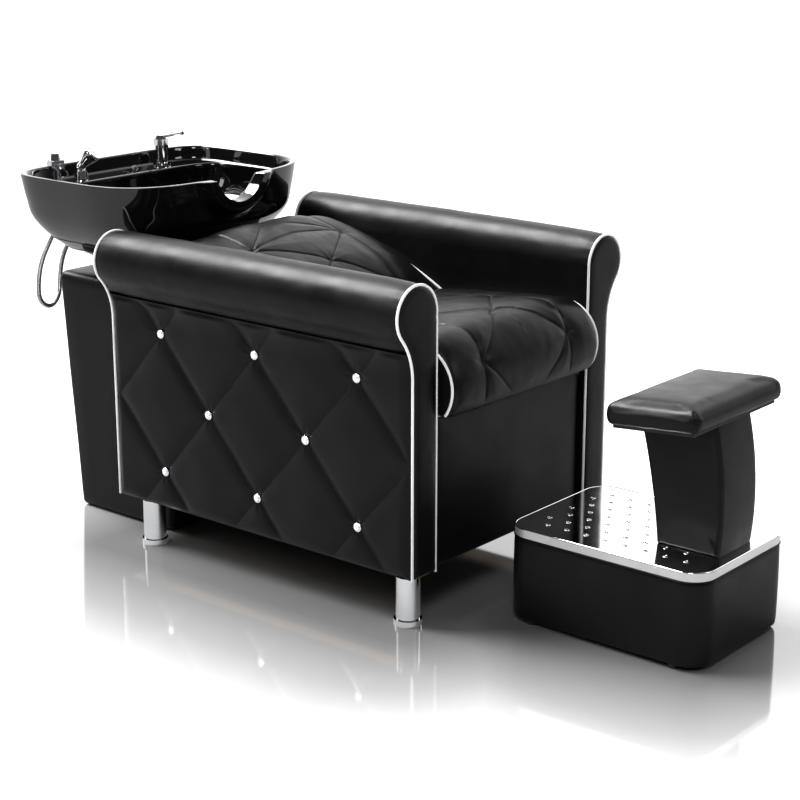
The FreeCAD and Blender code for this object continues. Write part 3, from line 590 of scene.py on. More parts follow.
def buttons():
    stones, cups = [], []
    for _, side in SIDES:
        for x, z in BUTTONS:
            seat = ARM_OUTER - 0.0005 + float(tufting(np.array(x), np.array(z))) + 0.0062
            stones.append(crystal_stone((x, side * seat, z), side))
            cups.append(lathe([(0.0092, -0.006), (0.0100, -0.003), (0.0100, 0.0004), (0.0096, 0.0012),
                               (0.0088, 0.0009)], (x, side * seat, z), (0, side, 0), 24))
    piece("crystal_stones", *joined(*stones), "crystal", "chair", "arm_crystal_buttons", flat=True)
    piece("crystal_cups", *joined(*cups), "chrome", "chair")


def make_arms():
    for name, side in SIDES:
        arm_roll(name, side)
        tufted_side(name, side)
        for end in ("front", "rear"):
            facing(name, end, side)
        arm_welts(name, side)
    buttons()


# ---- seat and back cushions

SEAT_HALF = 0.247
SEAM_OFF = 0.147        # the long sewn lines of both cushions, from the middle
HINGE_X, SEAT_LOW = -0.042, 0.421
BACK_LOW_X, BACK_LOW_Z, BACK_SLOPE = -0.062, 0.446, math.tan(math.radians(19.36))


def seat_outline(inset=0.0):
    """Side outline of the seat's sewn edge, from the front bottom to the hinge line."""
    top = 0.563 - inset
    line = arc_through((0.360 - inset, 0.420 + 2 * inset), (0.377 - inset, 0.487), (0.309, top), 40)
    return line + [(x, top - (0.309 - x) * 0.025 / 0.351) for x in np.linspace(0.309, HINGE_X, 60)[1:]]


def back_outline(inset=0.0):
    """Side outline of the back's sewn edge, from the hinge line up and over its top."""
    peak = (-0.438, 0.655 - inset)
    line = arc_through((-0.046 - inset, 0.534), (-0.240, 0.618 - inset), peak, 70)
    return line + arc_through(peak, (-0.461 + inset, 0.622), (-0.448, 0.586 + inset), 16)[1:]


def back_under(x):
    """Height of the back cushion's underside, on its leaning board."""
    return BACK_LOW_Z + (BACK_LOW_X - x) * BACK_SLOPE


def off_edge(points, width):
    """0 at a cushion's two side edges, 1 from width inside them."""
    return smooth_step((SEAT_HALF - np.abs(points[:, 1])) / width)


def stuffed(outline, bottom, swell):
    """Closed cushion: its side outline carried across, swelling towards the middle."""
    rings = []
    for y in np.linspace(-SEAT_HALF, SEAT_HALF, 48):
        share = abs(y) / SEAT_HALF
        crown = (1 - share ** 3.0) ** 0.7
        ring = [(x + dx * crown, y, z + dz * crown) for (x, z), (dx, dz) in
                ((point, swell(*point)) for point in outline)]
        ring += [(x, y, z) for x, z in bottom]
        rings.append(ring)
    return loft(rings)


def puffed(name, verts, faces, freedom, cap, voxel=0.006, relaxed=3):
    """Fills a closed form with air as cloth, each point moving at most cap times its freedom."""
    form = linked(name, mesh_of(name, verts, faces))
    outward(form.data)
    modified(form, "REMESH", mode="VOXEL", voxel_size=voxel)
    modified(form, "SMOOTH", factor=0.5, iterations=relaxed)
    applied(form)
    start, _ = mesh_arrays(form.data)
    free = np.clip(freedom(start), 0, 1)
    group = form.vertex_groups.new(name="held")
    for index, value in enumerate(free):
        group.add([index], float(1 - value), "REPLACE")
    cloth = modified(form, "CLOTH")
    cloth.settings.quality = 4
    cloth.settings.vertex_group_mass = "held"
    cloth.settings.use_pressure = True
    cloth.settings.uniform_pressure_force = 4
    cloth.settings.effector_weights.gravity = 0
    cloth.point_cache.frame_start = 1
    cloth.point_cache.frame_end = 20
    for frame_number in range(1, 21):
        scene.frame_set(frame_number)
    applied(form)
    scene.frame_set(1)
    move = mesh_arrays(form.data)[0] - start
    size = np.linalg.norm(move, axis=1)
    move *= (np.minimum(size, cap * free) / np.maximum(size, 1e-9))[:, None]
    form.data.vertices.foreach_set("co", (start + move).ravel())
    modified(form, "SMOOTH", factor=0.5, iterations=relaxed - 3)
    modified(form, "SUBSURF", levels=1, render_levels=1)
    applied(form)
    scene.collection.objects.unlink(form)
    return form.data


def mesh_arrays(mesh):
    points = np.empty(len(mesh.vertices) * 3)
    normals = np.empty(len(mesh.vertices) * 3)
    mesh.vertices.foreach_get("co", points)
    mesh.vertex_normals.foreach_get("vector", normals)
    return points.reshape(-1, 3), normals.reshape(-1, 3)


def moved_out(mesh, height):
    """Moves each point along its normal by its height."""
    points, normals = mesh_arrays(mesh)
    mesh.vertices.foreach_set("co", (points + normals * height[:, None]).ravel())
    mesh.update()


def unrolled(points, line):
    """Distance along a side outline of the spot nearest to each point, and the measured outline."""
    line = resampled(line, 0.004)
    along = np.concatenate(([0], np.cumsum(np.linalg.norm(np.diff(line, axis=0), axis=1))))
    flat = points[:, (0, 2)]
    best = np.full(len(points), 9.0)
    spot = np.zeros(len(points))
    for a, b, start in zip(line[:-1], line[1:], along[:-1]):
        run = b - a
        length = math.hypot(*run)
        share = np.clip(((flat - a) @ run) / length ** 2, 0, 1)
        far = np.linalg.norm(flat - a - share[:, None] * run, axis=1)
        closer = far < best
        best[closer] = far[closer]
        spot[closer] = start + share[closer] * length
    return spot, (line, along)


def stations(sheet, *spots):
    """Distances along the measured outline of its points nearest to each (x, z)."""
    line, along = sheet
    return [float(along[np.argmin(np.hypot(line[:, 0] - x, line[:, 1] - z))]) for x, z in spots]


def from_seam(s, y, seam):
    """Distance in the unrolled sheet from each point to a sewn line through several points."""
    far = np.full(len(s), 9.0)
    for (s1, y1), (s2, y2) in zip(seam[:-1], seam[1:]):
        ds, dy = s2 - s1, y2 - y1
        share = np.clip(((s - s1) * ds + (y - y1) * dy) / (ds * ds + dy * dy), 0, 1)
        far = np.minimum(far, np.hypot(s - s1 - share * ds, y - y1 - share * dy))
    return far


SWELL, SWELL_REACH, SEAM_CUT, SEAM_WIDE = 0.0042, 0.026, 0.0026, 0.0024


def quilted(mesh, s, seams, tufts, where):
    """Swells a cushion between its sewn lines and draws it in at the lines and tufts."""
    points, _ = mesh_arrays(mesh)
    y = points[:, 1]
    nearest = np.full(len(points), 9.0)
    for seam in seams:
        nearest = np.minimum(nearest, from_seam(s, y, seam))
    height = SWELL * (1 - np.exp(-(nearest / SWELL_REACH) ** 1.4)) - SWELL * 0.6
    height -= SEAM_CUT * np.exp(-(nearest / SEAM_WIDE) ** 2)
    for ts, ty, depth, wide in tufts:
        far = np.hypot(s - ts, y - ty)
        turn = np.arctan2(y - ty, s - ts)
        height -= depth * np.exp(-(far / wide) ** 1.6)
        height += 0.0004 * np.cos(7 * turn + 3 * ts) * np.exp(-((far - 1.1 * wide) / (0.6 * wide)) ** 2)
    height += 0.0012 * ripples(points * (0.6, 1, 1), 16) + 0.0004 * ripples(points, 45)
    moved_out(mesh, height * where)


def seat_cushion():
    def swell(x, z):
        front = smooth_step((x - 0.30) / 0.07)
        top = smooth_step((z - 0.50) / 0.06)
        return 0.006 * front, top * (0.013 + 0.013 * smooth_step((x + 0.03) / 0.22))

    def freedom(p):
        top = smooth_step((p[:, 2] - 0.445) / 0.05) * smooth_step((p[:, 0] + 0.035) / 0.06)
        return off_edge(p, 0.05) * top

    outline = seat_outline()
    bottom = [(HINGE_X, z) for z in np.linspace(0.530, 0.430, 12)]
    bottom += [(x, SEAT_LOW) for x in np.linspace(HINGE_X, 0.353, 40)]
    mesh = puffed("seat_form", *stuffed(outline, bottom, swell), freedom, 0.008)
    points, _ = mesh_arrays(mesh)
    s, sheet = unrolled(points, outline)
    nose, crest, middle, rear, last = stations(sheet, (0.372, 0.520), (0.280, 0.561), (0.165, 0.553),
                                               (0.045, 0.544), (HINGE_X, 0.538))
    seams, tufts = [], [(crest, 0.0, 0.004, 0.016), (rear, 0.0, 0.0035, 0.016)]
    for _, side in SIDES:
        far, mid = side * SEAM_OFF, side * 0.151
        seams += [[(0, far), (nose, far), (middle, mid), (rear, side * 0.158), (last, side * 0.16)],
                  [(nose, far), (crest, 0), (middle, mid), (rear, 0)],
                  [(rear, 0), (last, side * 0.10)], [(nose, far), (-0.03, 0)]]
        tufts += [(nose, far, 0.0035, 0.013), (middle, mid, 0.0035, 0.015)]
    quilted(mesh, s, seams, tufts, smooth_step((points[:, 2] - 0.43) / 0.03) * off_edge(points, 0.022))
    dress("seat_pad", mesh, "black_vinyl", "chair", "seat_cushion")


def back_cushion():
    def swell(x, z):
        lift = smooth_step((x + 0.460) / 0.115) * smooth_step((-0.035 - x) / 0.12)
        return 0.0, 0.046 * lift * smooth_step((z - 0.53) / 0.03)

    def freedom(p):
        top = smooth_step((p[:, 2] - back_under(p[:, 0]) - 0.05) / 0.04)
        return off_edge(p, 0.05) * top * smooth_step((p[:, 0] + 0.41) / 0.07)

    outline = back_outline()
    bottom = [(x, back_under(x) + 0.001) for x in np.linspace(-0.444, -0.066, 40)]
    mesh = puffed("back_form", *stuffed(outline, bottom, swell), freedom, 0.010)
    points, _ = mesh_arrays(mesh)
    s, sheet = unrolled(points, outline)
    first, second, third, fourth, end = stations(sheet, (-0.075, 0.549), (-0.171, 0.592), (-0.268, 0.626),
                                                 (-0.372, 0.649), (-0.45, 0.648))
    seams = [[(third, -SEAM_OFF), (third + 0.022, 0.0), (third, SEAM_OFF)]]
    tufts = [(second, 0.0, 0.0045, 0.018)]
    for _, side in SIDES:
        far = side * SEAM_OFF
        seams += [[(0, far), (first, far), (third, far), (end, far)],
                  [(first, far), (second, 0), (third, far), (fourth, 0)]]
        tufts += [(first, far, 0.003, 0.014), (third, far, 0.0045, 0.018)]
    top = smooth_step((points[:, 2] - back_under(points[:, 0]) - 0.04) / 0.04)
    upper = 0.35 + 0.65 * smooth_step((points[:, 0] + 0.42) / 0.05)
    quilted(mesh, s, seams, tufts, top * off_edge(points, 0.022) * upper)
    dress("back_pad", mesh, "black_vinyl", "chair", "back_cushion")


def cushion_welts():
    offset = SEAT_HALF + WELT
    for name, outline, node in (("seat_welt", seat_outline(WELT), "seat_piping"),
                                ("back_welt", back_outline(WELT), "back_piping")):
        forms = [welt([(x, side * offset, z) for x, z in outline]) for _, side in SIDES]
        piece(name, *joined(*forms), "white_welt", "chair", node)


# ---- panels, pedestal, foot box

def rounded_box_ring(low, high, corner, z, per_corner=8):
    """Rounded rectangle in plan, counter-clockwise, with the same number of points at any size."""
    (x0, y0), (x1, y1) = low, high
    points = []
    for cx, cy, start in ((x1 - corner, y1 - corner, 0), (x0 + corner, y1 - corner, 90),
                          (x0 + corner, y0 + corner, 180), (x1 - corner, y0 + corner, 270)):
        points.append([(cx + corner * math.cos(angle), cy + corner * math.sin(angle))
                       for angle in np.radians(np.linspace(start, start + 90, per_corner + 1))])
    ring = []
    for arc, following in zip(points, points[1:] + points[:1]):
        (ax, ay), (bx, by) = arc[-1], following[0]
        shares = np.linspace(0, 1, 31)[1:-1]
        ring += arc + [(ax + (bx - ax) * k, ay + (by - ay) * k) for k in shares]
    return [(x, y, z) for x, y in ring]


def front_panel():
    """Covered board under the seat's nose, its vinyl carried up over the seat board's edge."""
    half, low, high = 0.247, 0.104, 0.4195
    rings = []
    for inset, x in ((0.004, 0.312), (0.0, 0.314), (0.0, 0.324), (0.0008, 0.3285), (0.003, 0.3308),
                     (0.007, 0.3316), (0.02, 0.3325), (0.05, 0.3335), (0.09, 0.334), (0.13, 0.3342)):
        plan = rounded_box_ring((-half + inset, low + inset), (half - inset, high - inset),
                                max(0.006 - inset, 0.001), 0.0)
        rings.append([(x + 0.0006 * ripple(0, y, z, 9), y, z) for y, z, _ in plan])
    upholstered("front_cover", loft(rings), "chair", "front_panel", fill=0.9)


PED_FRONT, PED_REAR, PED_HALF, PED_LOW, PED_TOP, PED_LEAN = -0.432, -0.745, 0.245, 0.015, 0.560, 0.043
PED_CORNER, PED_EDGE, PED_FOOT, PIPE_X = 0.016, 0.018, 0.003, -0.705


def pedestal():
    """Wrapped wedge box with soft edges, its cover drawn down over the plinth; a pipe hole in its lid."""
    def ring(inset, z, bulge=0.0):
        rear = PED_REAR - PED_LEAN * (z - PED_LOW) / (PED_TOP - PED_LOW)
        plan = rounded_box_ring((rear + inset, -PED_HALF + inset), (PED_FRONT - inset, PED_HALF - inset),
                                max(PED_CORNER - inset, 0.002), z, 10)
        out = []
        for x, y, _ in plan:
            to_corner = abs(abs(y) - PED_HALF) + min(abs(x - rear), abs(x - PED_FRONT))
            push = bulge * smooth_step(min(to_corner, 0.05) / 0.05) + 0.0008 * ripple(x, y, z, 7)
            away = np.array((x - (rear + PED_FRONT) / 2, y))
            away /= np.linalg.norm(away)
            out.append((x + away[0] * push, y + away[1] * push, z))
        return out

    turns = [math.atan2(y, x - (PED_FRONT + PED_REAR - PED_LEAN) / 2) for x, y, _ in ring(0, PED_TOP)]

    def hole(radius, z):
        return [(PIPE_X + radius * math.cos(t), radius * math.sin(t), z) for t in turns]

    rings = [ring(0.011, PED_FOOT + 0.001), ring(0.008, PED_FOOT), ring(0.003, PED_FOOT + 0.002)]
    for z in np.linspace(PED_FOOT + 0.008, PED_TOP - PED_EDGE, 40):
        share = (z - PED_FOOT) / (PED_TOP - PED_FOOT)
        rings.append(ring(0.0, z, 0.0035 * math.sin(math.pi * share) ** 0.5))
    for turn in np.radians((15, 30, 45, 60, 75)):
        rings.append(ring(PED_EDGE * (1 - math.cos(turn)), PED_TOP - PED_EDGE * (1 - math.sin(turn))))
    rings += [ring(PED_EDGE, PED_TOP), ring(0.05, PED_TOP)]
    rings += [hole(0.029, PED_TOP), hole(0.028, PED_TOP - 0.001), hole(0.028, PED_TOP - 0.019)]
    rings += [ring(0.03, PED_TOP - 0.02), ring(0.03, PED_LOW + 0.001), ring(0.011, PED_LOW + 0.001)]
    upholstered("pedestal_cover", loft(rings + [rings[0]], ends=False), "chair", "pedestal_right_side",
                "pedestal_left_side", "pedestal_front_board", "pedestal_rear_panel", "pedestal_top",
                fill=0.9, closing=True)


BOX_REAR, BOX_FRONT, BOX_HALF, BOX_CORNER = 0.445, 0.895, 0.1675, 0.050
BOX_LOW, BOX_RIM, BOX_HIGH = 0.008, 0.182, 0.200


def drain_holes():
    """Staggered holes of the tread plate, in seven rows, clear of the post."""
    spots = []
    for row in range(-3, 4):
        for step in range(8):
            x = BOX_REAR + 0.067 + step * 0.0455 - (0.02275 if row % 2 == 0 else 0)
            y = row * 0.0387
            if not (abs(y) < 0.074 and x > 0.725) and x < BOX_REAR + 0.395:
                spots.append((x, y))
    return spots


def collar(form):
    """A turned profile as a ring: its first and last rows joined, the two end caps left out."""
    verts, faces = form
    sides = len(faces[-1])
    last = len(verts) - sides
    bridge = [(last + k, last + (k + 1) % sides, (k + 1) % sides, k) for k in range(sides)]
    return verts, faces[:-2] + bridge


def box_ring(inset, z):
    """The foot box's outline in plan, drawn in by inset."""
    return rounded_box_ring((BOX_REAR + inset, -BOX_HALF + inset), (BOX_FRONT - inset, BOX_HALF - inset),
                            BOX_CORNER - inset, z, 16)


def foot_box():
    """Vinyl skirt of the foot box, turned under at the foot and tucked below the metal rim."""
    def ring(inset, z):
        lump = 0.0005 if inset < 0.01 else 0.0
        return [(x + lump * ripple(x, y, z, 12), y + lump * ripple(y, x, z, 12), z)
                for x, y, _ in box_ring(inset, z)]

    rows = [(0.018, BOX_LOW + 0.006), (0.012, BOX_LOW + 0.001), (0.006, BOX_LOW)]
    for turn in np.radians((30, 60, 90)):
        rows.append((0.006 - 0.006 * math.sin(turn), BOX_LOW + 0.006 * (1 - math.cos(turn))))
    for z in np.linspace(BOX_LOW + 0.012, BOX_RIM - 0.010, 26):
        share = (z - BOX_LOW) / (BOX_RIM - BOX_LOW)
        rows.append((-0.0015 * math.sin(math.pi * share) ** 0.6, z))
    rows += [(0.0008, BOX_RIM - 0.004), (0.0028, BOX_RIM - 0.001), (0.006, BOX_RIM + 0.003),
             (0.006, BOX_HIGH - 0.004), (0.018, BOX_HIGH - 0.004)]
    rings = [ring(*row) for row in rows]
    upholstered("foot_box_skirt", loft(rings + [rings[0]], ends=False), "foot_rest", "foot_box_shell",
                fill=0.9, closing=True)
    seam = rounded_box_ring((BOX_REAR - 0.0006, -BOX_HALF - 0.0006), (BOX_FRONT + 0.0006, BOX_HALF + 0.0006),
                            BOX_CORNER, BOX_RIM - 0.002, 16)
    bead = box_ring(0.0011, BOX_HIGH - 0.0011)
    collars = [collar(lathe([(0.0034, -0.0012), (0.0034, 0.0004), (0.0042, 0.0011), (0.0054, 0.0006),
                             (0.0060, -0.0002)], (x, y, BOX_HIGH), sides=20)) for x, y in drain_holes()]
    piece("foot_box_edge", *swept(resampled(seam + seam[:1], 0.004), 0.0012, 8), "black_vinyl", "foot_rest")
    piece("hole_collars", *joined(*collars), "stainless", "foot_rest")
    piece("tread_bead", *swept(resampled(bead + bead[:1], 0.004), 0.0019, 10), "stainless", "foot_rest")


def bulged(outline, half, edge, bulge):
    """Closed upholstered form: a side outline carried across, with rolled and swelling faces."""
    outline = np.asarray(outline)
    centre = outline.mean(axis=0)
    tangent = np.roll(outline, -1, axis=0) - np.roll(outline, 1, axis=0)
    tangent /= np.linalg.norm(tangent, axis=1)[:, None]
    normal = np.stack([tangent[:, 1], -tangent[:, 0]], axis=1)
    if ((outline - centre) * normal).sum() < 0:
        normal = -normal
    turns = np.linspace(0, math.pi / 2, 6)
    rolled = [(edge * (1 - math.sin(t)), half - edge + edge * math.cos(t)) for t in turns]
    rows = [(inset, -y) for inset, y in rolled]
    rows += [(0, y) for y in np.linspace(edge - half, half - edge, 20)[1:-1]] + rolled[::-1]
    across = [(outline - normal * (inset - bulge * 0.6 * (1 - (abs(y) / half) ** 2)), y) for inset, y in rows]
    cheek = [(centre + (outline - centre) * share, half + bulge * depth)
             for share, depth in ((0.92, 0.25), (0.75, 0.55), (0.45, 0.9))]
    rows = [(ring, -y) for ring, y in cheek[::-1]] + across + cheek
    return loft([[(x, y, z) for x, z in ring] for ring, y in rows])


POST_HALF, STITCH = 0.064, 0.0018
PAD_TILT, PAD_LENGTH, PAD_WIDTH = math.radians(4.7), 0.200, 0.324
PAD_CORNER = np.array((0.668, 0.4523))
PAD_RUN = np.array((math.cos(PAD_TILT), math.sin(PAD_TILT)))
PAD_RISE = np.array((-math.sin(PAD_TILT), math.cos(PAD_TILT)))


def leg_post():
    """Post between the foot box and the leg pad, sewn along its four upright edges."""
    outline = ([(x, 0.200) for x in np.linspace(0.733, 0.867, 18)]
               + arc_through((0.867, 0.200), (0.871, 0.335), (0.852, 0.457), 40)[1:]
               + [(x, 0.457 - (0.852 - x) * 0.0132 / 0.160) for x in np.linspace(0.852, 0.687, 20)][1:]
               + arc_through((0.687, 0.4434), (0.714, 0.330), (0.733, 0.200), 40)[1:-1])
    upholstered("post_cover", bulged(outline, POST_HALF, 0.007, 0.003), "foot_rest", "leg_rest_post",
                fill=0.9, angle=60)
    edges = [(arc_through((0.867, 0.202), (0.871, 0.335), (0.852, 0.455), 60), -STITCH),
             (arc_through((0.687, 0.442), (0.714, 0.330), (0.733, 0.202), 60), STITCH)]
    seams = [swept([(x + inset, side * (POST_HALF - STITCH), z) for x, z in path], 0.0012, 8)
             for _, side in SIDES for path, inset in edges]
    piece("post_seams", *joined(*seams), "black_vinyl", "foot_rest")


def leg_pad():
    """Stuffed pad on its leaning board, with stitched corners."""
    rings = []
    for inset, w in ((0.03, 0.0005), (0.0125, 0.0), (0.0105, -0.003), (0.0055, -0.0045), (0.0015, -0.002),
                     (-0.001, 0.006), (-0.0022, 0.016), (-0.0018, 0.026), (0.0, 0.034), (0.0045, 0.0385),
                     (0.012, 0.0418), (0.026, 0.0445), (0.046, 0.0465), (0.070, 0.0475)):
        plan = rounded_box_ring((inset, -PAD_WIDTH / 2 + inset), (PAD_LENGTH - inset, PAD_WIDTH / 2 - inset),
                                max(0.013 - inset, 0.004), 0.0, 8)
        spots = [(PAD_CORNER + PAD_RUN * u + PAD_RISE * w, v) for u, v, _ in plan]
        rings.append([(x, v, z) for (x, z), v in spots])

    def freedom(p):
        return smooth_step(((p[:, (0, 2)] - PAD_CORNER) @ PAD_RISE - 0.006) / 0.02)

    mesh = puffed("pad_form", *loft(rings), freedom, 0.003, 0.004, 12)
    points, _ = mesh_arrays(mesh)
    flat = points[:, (0, 2)] - PAD_CORNER
    u, w = flat @ PAD_RUN, flat @ PAD_RISE
    from_end, from_side = np.minimum(u, PAD_LENGTH - u), PAD_WIDTH / 2 - np.abs(points[:, 1])
    near = np.maximum(from_end, from_side) < 0.022
    seam = 0.0016 * np.exp(-((from_end - from_side) / 0.0018) ** 2) * near * smooth_step((0.040 - w) / 0.004)
    pull = 0.0005 * ripples(points, 11) * smooth_step((w - 0.003) / 0.01)
    moved_out(mesh, pull - seam)
    dress("leg_pad", mesh, "black_vinyl", "foot_rest", "leg_rest_pad")


# ---- bowl

BOWL_X, RIM, DECK, BOWL_LOW, FLOOR = -0.670, 0.783, 0.750, 0.606, 0.625
NOTCH, NOTCH_Z, LIP, LIP_FRONT = 0.078, 0.806, 0.038, -0.428
OUTSIDE = ((BOWL_X, 0.130, 0.222, BOWL_LOW), (BOWL_X, 0.170, 0.257, 0.640), (BOWL_X, 0.207, 0.281, 0.680),
           (BOWL_X, 0.216, 0.293, 0.725), (BOWL_X, 0.225, 0.302, RIM))
UPPER = ((BOWL_X, 0.207, 0.284, DECK), (BOWL_X, 0.213, 0.290, RIM))
BASIN = ((-0.655, 0.100, 0.180, FLOOR), (-0.650, 0.130, 0.220, 0.645), (-0.640, 0.160, 0.260, 0.680),
         (-0.637, 0.168, 0.273, 0.710), (-0.635, 0.173, 0.278, DECK + 0.001))


def smoothed_section(sections, z):
    """Centre and half sizes of a loft through sections, at each height in z."""
    levels = np.array([s[3] for s in sections])
    index = np.clip(np.searchsorted(levels, z) - 1, 0, len(levels) - 2)
    gap = levels[index + 1] - levels[index]
    t = np.clip((z - levels[index]) / gap, 0, 1)
    out = []
    for values in np.array(sections).T[:3]:
        if len(sections) < 3:
            out.append(np.interp(z, levels, values))
            continue
        slopes = np.gradient(values, levels)
        m, n = slopes[index] * gap, slopes[index + 1] * gap
        out.append((2 * t ** 3 - 3 * t ** 2 + 1) * values[index] + (t ** 3 - 2 * t ** 2 + t) * m
                   + (-2 * t ** 3 + 3 * t ** 2) * values[index + 1] + (t ** 3 - t ** 2) * n)
    return out


def wall(sections, z, turns):
    """Points of a loft's surface at height z (one per column) in each direction from the bowl's middle."""
    z = np.broadcast_to(z, turns.shape).astype(float)
    centre, half_x, half_y = smoothed_section(sections, z)
    low, high = np.zeros_like(turns), np.full_like(turns, 0.5)
    for _ in range(40):
        reach = (low + high) / 2
        x = BOWL_X + reach * np.cos(turns) - centre
        y = reach * np.sin(turns)
        power = np.where(x >= 0, 3.2, 6.0)
        outside = (np.abs(x) / half_x) ** power + (np.abs(y) / half_y) ** power > 1
        high = np.where(outside, reach, high)
        low = np.where(outside, low, reach)
    return np.stack([BOWL_X + low * np.cos(turns), low * np.sin(turns), z], axis=1)


def filleted(profile, steps=5):
    """Rounds the corners of every column of a closed profile of (row of points, corner radius)."""
    out = []
    rows = [row for row, _ in profile]
    for before, (here, radius), after in zip(rows[-1:] + rows, profile, rows[1:] + rows[:1]):
        if np.max(radius) <= 0:
            out.append(here)
            continue
        start, end = [here + (other - here) * cut_share(here, other, radius) for other in (before, after)]
        for t in np.linspace(0, 1, steps):
            out.append((1 - t) ** 2 * start + 2 * t * (1 - t) * here + t ** 2 * end)
    return out


def cut_share(here, other, radius):
    """How much of the way to its neighbour each point's corner is rounded away."""
    length = np.linalg.norm(other - here, axis=1)
    return (np.minimum(radius, 0.48 * length) / np.maximum(length, 1e-9))[:, None]


def bowl_columns():
    """Directions from the bowl's middle, closely spaced across the neck notch and the rear corners."""
    turns = [0.0]
    while turns[-1] < math.pi:
        y = 0.225 * math.tan(min(turns[-1], 1.2))
        step = 0.0024 if y < 0.085 else 0.0075 if y < 0.13 else 0.0085
        turns.append(turns[-1] + step / 0.25)
    half = np.array(turns[1:]) * math.pi / turns[-1]
    return np.concatenate(([0.0], half, -half[:-1][::-1]))


NOTCH_FLANK, WASTE_X = 0.0755, -0.700


def notched_top(side):
    """Height of the bowl's top edge over each direction: its rim, dipping softly into the neck notch."""
    y = np.abs(side[:, 1])
    depth = math.sqrt(NOTCH ** 2 - NOTCH_FLANK ** 2)
    inside = NOTCH_Z - np.sqrt(np.maximum(NOTCH ** 2 - np.minimum(y, NOTCH_FLANK) ** 2, 0))
    dip = np.where(y < NOTCH_FLANK, inside, NOTCH_Z - depth + NOTCH_FLANK / depth * (y - NOTCH_FLANK))
    dip = np.where(side[:, 0] > BOWL_X, dip, 9.0)
    blend = 0.016
    return np.minimum(dip, RIM) - np.maximum(blend - np.abs(dip - RIM), 0) ** 2 / (4 * blend)


def lipped(rows):
    """Rolls the outside forward into the broad lip round the notch."""
    rho = np.hypot(rows[:, 1], np.minimum(rows[:, 2], RIM) - NOTCH_Z)
    share = smooth_step((NOTCH + LIP + 0.010 - rho) / 0.030) * (rows[:, 0] > -0.56)
    out = rows.copy()
    out[:, 0] += share * (LIP_FRONT - rows[:, 0])
    return out


def ceramic_bowl():
    """The whole bowl as one closed profile at each direction: outside, rim, tap deck, basin, waste."""
    turns = bowl_columns()
    side = wall(OUTSIDE, RIM, turns)
    top = notched_top(side)
    rho = np.hypot(side[:, 1], top - NOTCH_Z)
    lip_share = smooth_step((NOTCH + LIP + 0.004 - rho) / 0.03) * (side[:, 0] > BOWL_X)
    ledge = np.minimum(DECK, top - 0.012)

    def waste_ring(radius, z):
        ring = WASTE_X + radius * np.cos(turns), radius * np.sin(turns), np.full_like(turns, z)
        return np.stack(ring, axis=1)

    def inner(is_upper, z):
        """The upper wall where it stands above the deck, else the basin's."""
        return np.where(is_upper[:, None], wall(UPPER, np.maximum(z, DECK), turns),
                        wall(BASIN, np.minimum(z, DECK + 0.001), turns))

    profile = [(waste_ring(0.024, BOWL_LOW), 0), (wall(OUTSIDE, BOWL_LOW, turns), 0.012)]
    for share in np.linspace(0.08, 0.985, 20):
        profile.append((lipped(wall(OUTSIDE, BOWL_LOW + 0.004 + (top - BOWL_LOW - 0.004) * share, turns)), 0))
    profile.append((lipped(wall(OUTSIDE, top, turns)), 0.0055 + 0.009 * lip_share))
    inner_top = inner(top > DECK + 0.004, top)
    inner_top[:, 2] = top
    profile.append((inner_top, 0.005 + 0.006 * lip_share))
    for share in (0.35, 0.7):
        level = top + (ledge - top) * share
        ring = inner(level > DECK, level)
        ring[:, 2] = level
        profile.append((ring, 0))
    corner = np.where((top - 0.012 > DECK)[:, None], wall(UPPER, DECK, turns), wall(BASIN, ledge, turns))
    corner[:, 2] = ledge
    deck_inner = wall(BASIN, ledge + 0.001, turns)
    reach = [np.hypot(row[:, 0] - BOWL_X, row[:, 1]) for row in (deck_inner, corner)]
    tighter = np.minimum(reach[0], reach[1] - 0.0015)
    deck_inner = np.stack([BOWL_X + tighter * np.cos(turns), tighter * np.sin(turns), ledge - 0.0015], axis=1)
    profile += [(corner, 0.007), (deck_inner, 0.006)]
    for share in np.linspace(0.12, 0.97, 14):
        profile.append((wall(BASIN, ledge + (FLOOR - ledge) * share, turns), 0))
    profile += [(wall(BASIN, FLOOR, turns), 0.02), (waste_ring(0.036, FLOOR), 0),
                (waste_ring(0.0245, FLOOR), 0.001)]
    rows = filleted(profile)
    made = piece("ceramic_bowl", *loft(rows + [rows[0]], ends=False), "black_ceramic", "bowl_assembly",
                 "bowl")
    merged(made)
    pocket(made)
    creased(made, 40)


def pocket(made):
    """Hollow under the tap deck, open below, for the shanks, nuts and hoses."""
    rings = [rounded_box_ring((-0.876, -0.215), (-0.822, 0.215), 0.012, z) for z in (0.585, 0.65, 0.738)]
    tool = linked("under_deck", mesh_of("under_deck", *loft(rings)))
    outward(tool.data)
    modified(made, "BOOLEAN", operation="DIFFERENCE", object=tool, solver="EXACT")
    applied(made)
    bpy.data.objects.remove(tool)
    made.data.materials.clear()
    made.data.materials.append(FINISHES["black_ceramic"])


# ---- spray hose

HOSE_ROUTE = (
    (-0.845, -0.187, 0.690), (-0.845, -0.187, 0.655), (-0.860, -0.204, 0.612), (-0.876, -0.219, 0.564),
    (-0.882, -0.226, 0.514), (-0.882, -0.226, 0.470), (-0.884, -0.193, 0.447), (-0.886, -0.161, 0.469),
    (-0.886, -0.157, 0.514), (-0.882, -0.150, 0.564), (-0.866, -0.136, 0.610), (-0.845, -0.114, 0.654),
    (-0.845, -0.112, 0.690),
)
HOSE, RIB_PITCH, RIB_STEP = 0.012, 0.0032, 0.0008


